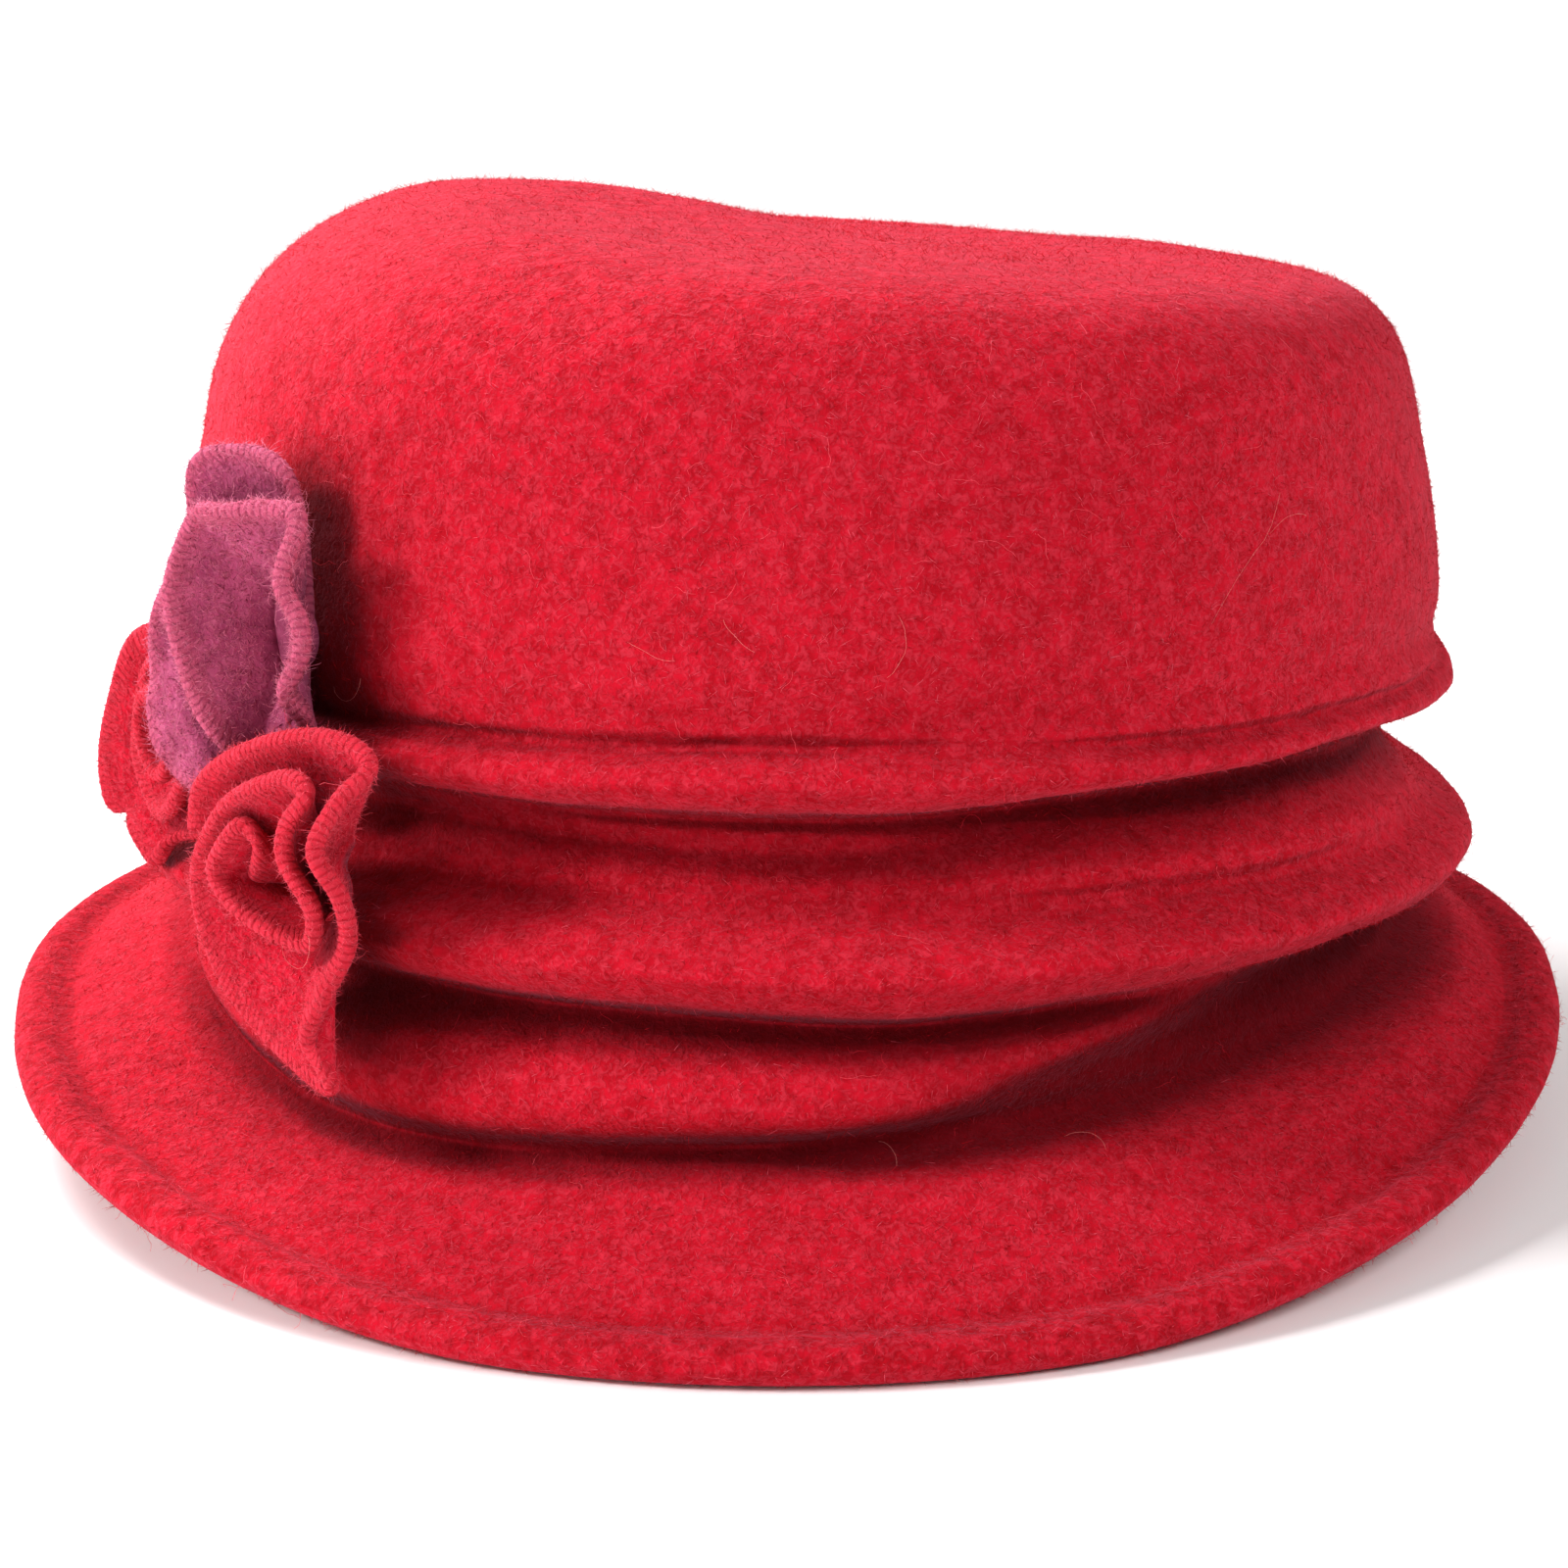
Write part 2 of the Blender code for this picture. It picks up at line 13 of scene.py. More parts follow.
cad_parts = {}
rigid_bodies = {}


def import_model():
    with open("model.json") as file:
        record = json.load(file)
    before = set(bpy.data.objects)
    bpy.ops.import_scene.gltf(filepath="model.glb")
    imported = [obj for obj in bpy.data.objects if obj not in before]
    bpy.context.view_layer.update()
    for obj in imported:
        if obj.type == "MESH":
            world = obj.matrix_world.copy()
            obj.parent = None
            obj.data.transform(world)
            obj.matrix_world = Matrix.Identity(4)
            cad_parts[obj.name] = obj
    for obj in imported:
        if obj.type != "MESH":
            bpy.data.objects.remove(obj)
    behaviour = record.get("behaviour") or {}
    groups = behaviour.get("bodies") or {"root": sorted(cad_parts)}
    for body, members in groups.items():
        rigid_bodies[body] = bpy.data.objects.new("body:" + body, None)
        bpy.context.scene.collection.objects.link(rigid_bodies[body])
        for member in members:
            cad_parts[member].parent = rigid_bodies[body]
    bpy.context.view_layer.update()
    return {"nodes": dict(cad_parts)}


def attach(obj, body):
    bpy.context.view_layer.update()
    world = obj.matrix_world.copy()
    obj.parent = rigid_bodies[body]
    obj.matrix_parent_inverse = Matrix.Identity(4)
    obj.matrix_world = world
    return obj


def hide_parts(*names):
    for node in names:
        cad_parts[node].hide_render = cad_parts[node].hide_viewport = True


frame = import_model()
mm = 0.001
up = Vector((0.0, 0.0, 1.0))


def pickOnly(piece):
    bpy.ops.object.select_all(action="DESELECT")
    piece.select_set(True)
    bpy.context.view_layer.objects.active = piece


def newPiece(name, mesh):
    piece = bpy.data.objects.new(name, mesh)
    bpy.context.scene.collection.objects.link(piece)
    return piece


def meshFrom(name, points, faces):
    # points (n, 3) and faces (m, k) as arrays, all faces with the same number of corners
    mesh = bpy.data.meshes.new(name)
    corners = faces.shape[1]
    mesh.vertices.add(len(points))
    mesh.vertices.foreach_set("co", np.asarray(points, np.float32).ravel())
    mesh.loops.add(faces.size)
    mesh.loops.foreach_set("vertex_index", np.asarray(faces, np.int32).ravel())
    mesh.polygons.add(len(faces))
    mesh.polygons.foreach_set("loop_start", np.arange(0, faces.size, corners, dtype=np.int32))
    mesh.update(calc_edges=True)
    return mesh


def valuesOf(items, field, width=1, kind=float):
    values = np.empty(len(items) * width, kind)
    items.foreach_get(field, values)
    return values.reshape(-1, width) if width > 1 else values


def placesOf(mesh):
    return valuesOf(mesh.vertices, "co", 3)


def normalsOf(mesh):
    return valuesOf(mesh.vertex_normals, "vector", 3)


def cornersOf(mesh):
    return valuesOf(mesh.loops, "vertex_index", kind=np.int32)


def surfaceOf(pieces):
    # one surface to cast rays at
    points = []
    faces = []
    for piece in pieces:
        start = len(points)
        points.extend(vertex.co.copy() for vertex in piece.data.vertices)
        faces.extend([start + index for index in face.vertices] for face in piece.data.polygons)
    return BVHTree.FromPolygons(points, faces)


def unit(rows):
    return rows / np.maximum(np.linalg.norm(rows, axis=-1, keepdims=True), 1e-12)


def setInputs(tree, node, inputs):
    # each input as a value or as another node's socket
    for name, value in inputs.items():
        if isinstance(value, bpy.types.NodeSocket):
            tree.links.new(value, node.inputs[name])
        else:
            node.inputs[name].default_value = value


def addNode(tree, kind, inputs, **settings):
    node = tree.nodes.new(kind)
    for name, value in settings.items():
        setattr(node, name, value)
    setInputs(tree, node, inputs)
    return node


def newMaterial(name, values):
    # a material with these values on its shader's own sockets
    material = bpy.data.materials.new(name)
    material.use_nodes = True
    setInputs(material.node_tree, material.node_tree.nodes["Principled BSDF"], values)
    return material


def feltPiece(piece, material):
    piece.data.materials.append(material)
    piece.data.shade_smooth()
    return piece


def ended(piece, slot):
    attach(piece, "root")
    return piece


# Wool

# Colours of each felt. "deep" is the colour of its painted shade, and "shade" the most that this painted
# shade darkens it where folds close the felt off
wool = {
    "red": {
        "base": (0.57, 0.010, 0.030), "dark": (0.30, 0.002, 0.007), "light": (0.78, 0.100, 0.150),
        "deep": (0.100, 0.0010, 0.004), "shade": 0.82,
    },
    "strip": {
        "base": (0.68, 0.017, 0.047), "dark": (0.36, 0.004, 0.013), "light": (0.86, 0.140, 0.200),
        "deep": (0.060, 0.0008, 0.003), "thread": (0.72, 0.056, 0.088), "shade": 0.28,
    },
    "plum": {
        "base": (0.610, 0.122, 0.258), "dark": (0.262, 0.033, 0.094), "light": (0.86, 0.280, 0.42),
        "deep": (0.035, 0.003, 0.011), "thread": (0.66, 0.130, 0.200), "shade": 0.45,
    },
    "layers": {
        # size, its noise's roughness and distortion, the noise where it starts and is full, its relief
        "Fuzz": (1.0 * mm, 0.62, 1.2, 0.44, 0.62, 0.50),
        "Speck": (1.7 * mm, 0.60, 0.5, 0.56, 0.38, -0.35),
        "Patch": (3.4 * mm, 0.55, 0.3, 0.36, 0.60, 0.50),
    },
    "noiseDetail": 3.0,
    "mottle": 0.46,               # how much of the dark the patches show
    "speckShare": 0.20,           # how much of the dark the specks take
    "fuzzShare": 0.25,            # how much of the light the fuzz takes
    "bump": 0.28 * mm,
    "bumpStrength": 0.75,
    "threadShare": 0.55,          # how much of its thread's colour an overlocked edge takes
    "markDepth": 0.9,             # of stitch gaps and the hem's groove, in shares of the bump
    "surface": {
        "Roughness": 0.92, "Specular IOR Level": 0.12,
        "Sheen Weight": 0.16, "Sheen Roughness": 0.36, "Sheen Tint": (1.0, 0.50, 0.70, 1.0),
    },
    "creaseReach": 24.0 * mm,     # how near a fold has to be to close a point off
    "creaseRays": 16,
    "creaseLift": 0.15 * mm,      # off the felt, where the rays start
    # painted shade: closed off this much, the felt's colour starts to darken towards its deep colour, and is
    # darkest
    "creaseRamp": (0.05, 0.42),   # closed off this much, felt starts to darken and is darkest
}


def makeSums(tree):
    # small sums on a material's values: call it with an operation and its values or sockets
    def calc(operation, *values, clamp=False):
        inputs = dict(enumerate(values))
        return addNode(tree, "ShaderNodeMath", inputs, operation=operation, use_clamp=clamp).outputs["Value"]
    return calc


def ramp(tree, value, low, high, kind="SMOOTHSTEP"):
    # 0 at low and 1 at high, or the other way round where low is above high
    inputs = {"Value": value, "From Min": low, "From Max": high}
    return addNode(tree, "ShaderNodeMapRange", inputs, interpolation_type=kind).outputs["Result"]


def mixed(tree, colour, towards, share):
    # towards is a colour or a socket
    if isinstance(towards, tuple):
        towards = (*towards, 1.0)
    inputs = {"A": colour, "B": towards, "Factor": share}
    return addNode(tree, "ShaderNodeMix", inputs, data_type="RGBA").outputs["Result"]


def placeIn(tree):
    return addNode(tree, "ShaderNodeTexCoord", {}).outputs["Object"]


def mapOf(tree, name):
    way = addNode(tree, "ShaderNodeUVMap", {}, uv_map=name).outputs["UV"]
    split = addNode(tree, "ShaderNodeSeparateXYZ", {"Vector": way})
    return split.outputs["X"], split.outputs["Y"]


def makeWoolGroup():
    # mottled colour and a felted height, from a place on the piece
    group = bpy.data.node_groups.new("boiledWool", "ShaderNodeTree")
    kinds = {
        "Place": "Vector", "Base": "Color", "Dark": "Color", "Light": "Color",
        "Patch": "Float", "Speck": "Float", "Fuzz": "Float", "Mottle": "Float",
    }
    for name, kind in kinds.items():
        group.interface.new_socket(name, in_out="INPUT", socket_type="NodeSocket" + kind)
    group.interface.new_socket("Color", in_out="OUTPUT", socket_type="NodeSocketColor")
    group.interface.new_socket("Height", in_out="OUTPUT", socket_type="NodeSocketFloat")
    given = group.nodes.new("NodeGroupInput").outputs
    calc = makeSums(group)
    layers = {}
    height = 0.0
    for name, (_, roughness, distortion, low, high, relief) in wool["layers"].items():
        cloud = addNode(group, "ShaderNodeTexNoise", {
            "Vector": given["Place"], "Scale": given[name],
            "Detail": wool["noiseDetail"], "Roughness": roughness, "Distortion": distortion,
        })
        layers[name] = ramp(group, cloud.outputs["Fac"], low, high, "LINEAR")
        height = calc("MULTIPLY_ADD", layers[name], relief, height)
    colour = mixed(group, given["Dark"], given["Base"], layers["Patch"])
    colour = mixed(group, given["Base"], colour, given["Mottle"])
    colour = mixed(group, colour, given["Dark"], calc("MULTIPLY", layers["Speck"], wool["speckShare"]))
    colour = mixed(group, colour, given["Light"], calc("MULTIPLY", layers["Fuzz"], wool["fuzzShare"]))
    addNode(group, "NodeGroupOutput", {"Color": colour, "Height": height})
    return group


def stitchGaps(tree):
    # painted shade in the gaps between an overlocked edge's threads: u counts stitches, v is 1 at the edge
    # and 0 where they end
    calc = makeSums(tree)
    along, edge = mapOf(tree, "stitches")
    thread = calc("ABSOLUTE", calc("SINE", calc("MULTIPLY", along, math.pi)))
    gaps = calc("MULTIPLY", ramp(tree, thread, *strips["gapRamp"]), edge)
    return calc("MULTIPLY", gaps, strips["gapShade"]), edge


def hemGroove(tree):
    # painted shade in the hem's groove, varied along it by its stitches, and in pits in the band outside it
    calc = makeSums(tree)
    along, inward = mapOf(tree, "hem")
    middle = hem["groove"]
    start = middle - hem["grooveWidth"]
    end = middle + hem["grooveWidth"] * hem["grooveFade"]
    groove = calc("MULTIPLY", ramp(tree, inward, start, middle), ramp(tree, inward, end, middle))
    wave = calc("SINE", calc("MULTIPLY", along, 2.0 * math.pi))
    stitches = calc("MULTIPLY_ADD", wave, hem["stitchShade"], hem["grooveShade"])
    grain = {"Vector": placeIn(tree), "Scale": 1.0 / hem["pits"], "Detail": hem["pitDetail"]}
    cloud = addNode(tree, "ShaderNodeTexNoise", grain).outputs["Fac"]
    pits = calc("MULTIPLY", ramp(tree, cloud, *hem["pitRamp"]), ramp(tree, inward, middle, start))
    pits = calc("MULTIPLY", pits, hem["pitShade"])
    return calc("ADD", calc("MULTIPLY", groove, stitches), pits, clamp=True), None


def woolMaterial(name, colours, group, marks=None):
    material = newMaterial(name, wool["surface"])
    tree = material.node_tree
    calc = makeSums(tree)
    given = {socket: (*colours[socket.lower()], 1.0) for socket in ("Base", "Dark", "Light")}
    given.update((layer, 1.0 / row[0]) for layer, row in wool["layers"].items())
    given.update({"Mottle": wool["mottle"], "Place": placeIn(tree)})
    felt = addNode(tree, "ShaderNodeGroup", given, node_tree=group)
    colour, height = felt.outputs["Color"], felt.outputs["Height"]
    if marks is not None:
        marked, edge = marks(tree)
        if edge is not None:
            colour = mixed(tree, colour, colours["thread"], calc("MULTIPLY", edge, wool["threadShare"]))
        # painted shade of the marks: stitch gaps, the hem's groove and its pits darken towards the dark
        # colour, and sink in the bump
        colour = mixed(tree, colour, colours["dark"], marked)
        height = calc("MULTIPLY_ADD", marked, -wool["markDepth"], height)
    # painted shade: the felt's colour darkens towards its deep colour where the folds close it off
    crease = addNode(tree, "ShaderNodeAttribute", {}, attribute_name="crease").outputs["Fac"]
    closed = calc("MULTIPLY", ramp(tree, crease, *wool["creaseRamp"]), colours["shade"])
    relief = {"Height": height, "Strength": wool["bumpStrength"], "Distance": wool["bump"]}
    setInputs(tree, tree.nodes["Principled BSDF"], {
        "Base Color": mixed(tree, colour, colours["deep"], closed),
        "Normal": addNode(tree, "ShaderNodeBump", relief).outputs["Normal"],
    })
    return material


def fibreMaterial(name, colour):
    return newMaterial(name, {"Base Color": (*colour, 1.0), **nap["surface"]})


# Felt shell

shell = {
    "headWidth": 181.0 * mm,
    "headDepth": 187.0 * mm,
    "felt": 3.0 * mm,
    "lean": 3.4 * mm,             # crown's middle from the brim's
    "mergeWithin": 0.01 * mm,
    "quadAngle": math.radians(70.0),
    "levels": 2,
    "fineBand": (10.0 * mm, 86.0 * mm),      # heights that get one more cut for the folds
    "steepEdge": 0.3,             # only edges that go round by less than this share of their length are cut
    "lumpSize": 34.0 * mm,
    "lumpPush": 0.8 * mm,
    "riseShift": (7.0, 3.0, 5.0),            # from the noise of the lumps to that of their rise
    "dimpleSize": 9.0 * mm,
    "dimplePush": 0.22 * mm,
    "flatHem": (3.0 * mm, 12.0 * mm),        # lumps start over this height, and grow over this much
    "foldTop": 90.0 * mm,
    "rootReach": 10.5 * mm,       # out from the tightest crease to the brim's root
    "rootTop": 40.0 * mm,
    "rootFade": 5.0 * mm,
    "smoothTurn": 8.0,            # degrees over which a fold's height and push change
    "smoothReach": 16,            # degrees, furthest that the smoothing looks
}

# Turned hem: a soft groove of stitches round the brim, and a coarser band outside it, with painted shade in
# the groove and in the band's pits
hem = {
    "groove": 8.3,                # mm in from the edge
    "grooveWidth": 1.9,
    "grooveFade": 1.6,            # widths over which it ends on the side away from the edge
    "grooveDepth": 0.50 * mm,
    "grooveShade": 0.24,
    "stitchShade": 0.10,
    "bandSwell": 0.25 * mm,
    "stitches": 230,
    "pits": 2.3 * mm,
    "pitDetail": 2.0,
    "pitRamp": (0.54, 0.38),      # noise where a pit starts and is deepest
    "pitShade": 0.45,
    "edgeStep": 3.0,              # degrees between the places where the edge is read
    "farAway": 60.0,              # mm, given to all that isn't the brim's upper side
}

# Creases and rolls pressed into the band. Each has its height and its push outwards in mm at these bearings,
# and how far it spreads up and down. Where it has a painted shadow, its felt takes that much more painted
# shade, as if more closed off.
foldBearings = (0.0, 45.0, 90.0, 135.0, 180.0, 210.0, 230.0, 250.0, 270.0, 290.0, 310.0, 330.0)
folds = {
    "fine crease over the upper roll": {
        "spread": 1.3 * mm,
        "heights": (72.3, 74.5, 76.0, 74.5, 71.5, 72.8, 74.3, 75.0, 75.8, 74.7, 73.9, 71.6),
        "pushes": (-1.2, -1.1, -1.1, -1.1, -1.1, -1.1, -1.3, -1.4, -1.4, -1.5, -1.5, -1.4),
    },
    "crown wall over the crease": {
        "spread": 3.0 * mm,
        "heights": (76.0, 78.0, 79.0, 78.0, 76.0, 76.0, 77.0, 78.0, 79.0, 77.5, 77.3, 75.5),
        "pushes": (0.0, 0.0, 0.0, 0.0, 0.0, 0.0, -0.2, -0.5, -0.6, -0.8, -1.0, -1.2),
    },
    "upper roll": {
        "spread": 2.3 * mm,
        "heights": (68.0, 69.5, 71.5, 69.5, 66.5, 68.5, 70.3, 70.9, 71.5, 70.9, 70.2, 67.4),
        "pushes": (-0.4, 0.7, 0.6, 0.7, 0.7, 0.7, 1.0, 1.6, 1.8, 2.2, 2.6, 2.4),
    },
    "underside of the upper roll": {
        "spread": 2.2 * mm,
        "heights": (62.5, 64.0, 66.0, 64.0, 61.0, 63.5, 65.6, 64.4, 64.9, 64.8, 65.0, 61.0),
        "pushes": (-0.8, -0.8, -0.8, -0.8, -0.8, -1.0, -3.0, -4.2, -4.6, -3.2, -2.2, -0.6),
    },
    "wall over the middle roll": {
        "spread": 2.8 * mm,
        "heights": (47.5, 50.0, 52.0, 50.5, 47.5, 50.6, 52.8, 52.2, 51.8, 51.5, 51.0, 49.4),
        "pushes": (-1.4, -1.5, -1.5, -1.5, -1.5, -1.5, -1.8, -3.0, -3.6, -4.2, -4.6, -3.6),
    },
    "middle roll": {
        "spread": 2.5 * mm,
        "heights": (41.0, 43.5, 45.5, 44.0, 41.0, 44.0, 46.2, 46.2, 45.9, 45.6, 45.2, 43.6),
        "pushes": (0.6, 0.7, 0.6, 0.7, 0.7, 0.8, 1.2, 1.7, 2.0, 2.1, 1.8, 1.0),
    },
    "hollow under the middle roll": {
        "spread": 3.0 * mm,
        "heights": (31.0, 34.5, 36.5, 35.0, 32.0, 35.0, 36.5, 37.0, 36.5, 34.5, 31.5, 30.0),
        "pushes": (0.0, 0.0, 0.0, 0.0, 0.0, 0.0, 0.2, 1.2, 1.6, 0.6, -1.5, -1.5),
    },
    "hollow under the low swell": {
        "spread": 4.4 * mm,
        "heights": (27.0, 25.0, 24.0, 25.0, 27.0, 22.0, 15.5, 17.4, 21.4, 25.6, 25.4, 26.4),
        "pushes": (-0.8, -0.8, -0.8, -0.8, -0.8, -0.8, -0.6, -1.6, -2.4, -4.4, -2.2, -1.6),
    },
    "wall under the middle roll at the right front": {
        "spread": 6.5 * mm,
        "heights": (26.5,) * 8 + (22.0, 25.6, 27.0, 27.5),
        "pushes": (-1.0,) + (0.0,) * 8 + (-1.6, -7.0, -5.5),
        # painted shadow under the middle roll at the right front, added to the felt's painted shade
        "paintedShadow": (0.0,) * 9 + (0.34, 0.56, 0.50),
    },
    "wall over the brim's root": {
        "spread": 3.0 * mm,
        "heights": (23.0, 21.0, 20.0, 21.0, 23.0, 19.0, 14.5, 16.5, 19.0, 20.3, 19.6, 21.4),
        "pushes": (-2.6, -1.8, -1.6, -1.8, -2.4, -1.6, -0.8, -0.8, -1.6, -4.8, -7.5, -6.5),
    },
}


def makeShell(material):
    mesh = frame["nodes"]["hat_body"].data.copy()
    mesh.materials.clear()
    mesh.name = "hatShell"
    piece = newPiece("hatShell", mesh)
    pickOnly(piece)
    bpy.ops.mesh.customdata_custom_splitnormals_clear()
    bpy.ops.object.mode_set(mode="EDIT")
    bpy.ops.mesh.select_all(action="SELECT")
    bpy.ops.mesh.remove_doubles(threshold=shell["mergeWithin"])
    bpy.ops.mesh.tris_convert_to_quads(face_threshold=shell["quadAngle"], shape_threshold=shell["quadAngle"])
    bpy.ops.mesh.mark_sharp(clear=True)
    bpy.ops.object.mode_set(mode="OBJECT")
    quads = sum(len(face.vertices) == 4 for face in mesh.polygons)
    print("shell: faces", len(mesh.polygons), "of which quads", quads)
    smooth = piece.modifiers.new("smooth", "SUBSURF")
    smooth.levels = shell["levels"]
    smooth.render_levels = shell["levels"]
    bpy.ops.object.modifier_apply(modifier="smooth")
    cutFineBand(piece)
    sculptShell(piece.data)
    markHem(piece.data)
    return feltPiece(piece, material)


def markCreases(piece, skin):
    # how far each point is closed off by the folds round it, with any fold's painted shadow added, kept as
    # the piece's attribute "crease" that sets the felt's painted shade
    mesh = piece.data
    places, normals = placesOf(mesh), normalsOf(mesh)
    slant = (0.31, 0.23, 0.92)           # straight along no normal
    goldenTurn = math.pi * (3.0 - math.sqrt(5.0))
    sides = unit(np.cross(normals, slant))
    others = np.cross(normals, sides)
    starts = (places + normals * wool["creaseLift"]).tolist()
    closed = np.zeros(len(places))
    for step in range(wool["creaseRays"]):
        radius = math.sqrt((step + 0.5) / wool["creaseRays"])
        turn = step * goldenTurn
        ways = sides * math.cos(turn) * radius + others * math.sin(turn) * radius
        ways = (ways + normals * math.sqrt(1.0 - radius * radius)).tolist()
        for index, (start, way) in enumerate(zip(starts, ways)):
            distance = skin.ray_cast(start, way, wool["creaseReach"])[3]
            if distance is not None:
                closed[index] += 1.0 - distance / wool["creaseReach"]
    closed /= wool["creaseRays"]
    bearings = bearingsOf(places)[0]
    # painted shadow, where a fold has one: more painted shade than the folds' closing off gives
    for fold in folds.values():
        if "paintedShadow" in fold:
            middles = roundTheHat(fold["heights"], bearings) * mm
            near = np.exp(-((places[:, 2] - middles) / fold["spread"]) ** 2)
            closed += near * roundTheHat(fold["paintedShadow"], bearings)
    marks = mesh.attributes.new("crease", "FLOAT", "POINT")
    marks.data.foreach_set("value", closed.astype(np.float32))


def cutFineBand(piece):
    # one cut more across the steep edges of the outer skin's band and of the brim's rim
    mesh = piece.data
    places = placesOf(mesh)
    outward = places[:, :2] - (shell["lean"], 0.0)
    outer = (normalsOf(mesh)[:, :2] * outward).sum(axis=1) > 0.0
    tops = normalsOf(mesh)[:, 2] > 0.0
    bearings = np.arctan2(outward[:, 1], outward[:, 0])
    reaches = np.linalg.norm(outward, axis=1)
    low, high = shell["fineBand"]
    banded = outer & (places[:, 2] > low) & (places[:, 2] < high)
    hemmed = outer & tops & (places[:, 2] <= low)
    pickOnly(piece)
    bpy.ops.object.mode_set(mode="EDIT")
    bpy.ops.mesh.select_mode(type="EDGE")
    bpy.ops.mesh.select_all(action="DESELECT")
    bpy.ops.object.mode_set(mode="OBJECT")
    for edge in mesh.edges:
        first, second = edge.vertices
        if not ((banded[first] and banded[second]) or (hemmed[first] and hemmed[second])):
            continue
        turn = abs(bearings[first] - bearings[second])
        turn = min(turn, 2.0 * math.pi - turn)
        length = math.dist(places[first], places[second])
        edge.select = bool(turn * reaches[first] < shell["steepEdge"] * length)
    bpy.ops.object.mode_set(mode="EDIT")
    bpy.ops.mesh.subdivide(number_cuts=1)
    bpy.ops.object.mode_set(mode="OBJECT")


def roundTheHat(values, bearings):
    # values at the fold bearings, smoothed into each other, read at any bearings
    table = np.interp(np.arange(360.0), foldBearings, values, period=360.0)
    offsets = np.arange(-shell["smoothReach"], shell["smoothReach"] + 1)
    weights = np.exp(-(offsets / shell["smoothTurn"]) ** 2)
    table = sum(weight * np.roll(table, offset) for offset, weight in zip(offsets, weights)) / weights.sum()
    return np.interp(bearings, np.arange(360.0), table, period=360.0)


def bearingsOf(places):
    # bearing round the head's oval, reach from its middle and the oval's own reach there
    away = places[:, :2] - (shell["lean"], 0.0)
    wide = shell["headWidth"] / 2 + shell["felt"]
    deep = shell["headDepth"] / 2 + shell["felt"]
    turns = np.arctan2(away[:, 1] / deep, away[:, 0] / wide)
    oval = np.hypot(wide * np.cos(turns), deep * np.sin(turns))
    return np.degrees(turns) % 360.0, np.linalg.norm(away, axis=1), oval, unit(away)


def awayFrom(spot):
    # level, from the crown's middle
    return Vector((spot.x - shell["lean"], spot.y, 0.0)).normalized()


def pressFolds(places):
    # the folds push both skins alike, and fade out past the brim's root
    bearings, reaches, oval, away = bearingsOf(places)
    heights = places[:, 2]
    past = reaches - oval - shell["rootReach"]
    free = np.clip(1.0 - past / shell["rootFade"], 0.0, 1.0)
    free[heights > shell["rootTop"]] = 1.0
    free[heights > shell["foldTop"]] = 0.0
    push = np.zeros(len(places))
    for fold in folds.values():
        middles = roundTheHat(fold["heights"], bearings) * mm
        near = np.exp(-((heights - middles) / fold["spread"]) ** 2)
        push += near * roundTheHat(fold["pushes"], bearings) * mm
    places[:, :2] += away * (push * free)[:, None]


def hemDistances(places, normals):
    # mm in from the brim's edge over its upper side
    bearings, reaches = bearingsOf(places)[:2]
    steps = (bearings / hem["edgeStep"]).astype(int)
    edges = []
    for step in np.unique(steps):
        here = np.flatnonzero(steps == step)
        outermost = here[np.argmax(reaches[here])]
        edges.append((bearings[outermost], reaches[outermost], places[outermost, 2]))
    turns, outs, lows = np.array(edges).T
    out = np.interp(bearings, turns, outs, period=360.0)
    low = np.interp(bearings, turns, lows, period=360.0)
    ways = np.hypot(out - reaches, places[:, 2] - low) / mm
    upper = (normals[:, 2] > 0.0) & (ways < hem["farAway"])
    return np.where(upper, ways, hem["farAway"])


def markHem(mesh):
    # a map that runs along the hem in stitches and in from its edge in mm
    places = placesOf(mesh)
    ways = hemDistances(places, normalsOf(mesh))
    turns = bearingsOf(places)[0] / 360.0
    corners = cornersOf(mesh)
    along = turns[corners]
    starts = valuesOf(mesh.polygons, "loop_start", kind=np.int32)
    sizes = np.diff(np.append(starts, len(corners)))
    highest = np.repeat(np.maximum.reduceat(along, starts), sizes)
    along = np.where(highest - along > 0.5, along + 1.0, along)       # no face runs backwards over the join
    values = np.stack((along * hem["stitches"], ways[corners]), axis=1)
    marks = mesh.uv_layers.new(name="hem")
    marks.data.foreach_set("uv", values.astype(np.float32).ravel())


def sculptShell(mesh):
    # the folds, the hem, soft lumps that both skins share, and small dimples of each skin
    places = placesOf(mesh)
    pressFolds(places)
    mesh.vertices.foreach_set("co", places.ravel())
    mesh.update()
    normals = normalsOf(mesh)
    ways = hemDistances(places, normals)
    swell = np.where(ways < hem["groove"], hem["bandSwell"], 0.0)
    swell -= hem["grooveDepth"] * np.exp(-((ways - hem["groove"]) / hem["grooveWidth"]) ** 2)
    places += normals * swell[:, None]
    flat, over = shell["flatHem"]
    for index, (place, normal) in enumerate(zip(places, normals)):
        spot = Vector(place)
        lump = noise.noise(spot / shell["lumpSize"]) * shell["lumpPush"]
        rise = noise.noise(spot / shell["lumpSize"] + Vector(shell["riseShift"])) * shell["lumpPush"]
        dimple = noise.noise(spot / shell["dimpleSize"]) * shell["dimplePush"]
        free = min(1.0, max(0.0, (spot.z - flat) / over))
        moved = spot + (awayFrom(spot) * lump + up * rise + Vector(normal) * dimple) * free
        places[index] = (moved.x, moved.y, max(moved.z, 0.0))
    mesh.vertices.foreach_set("co", places.ravel())
    mesh.update()


# Rosettes

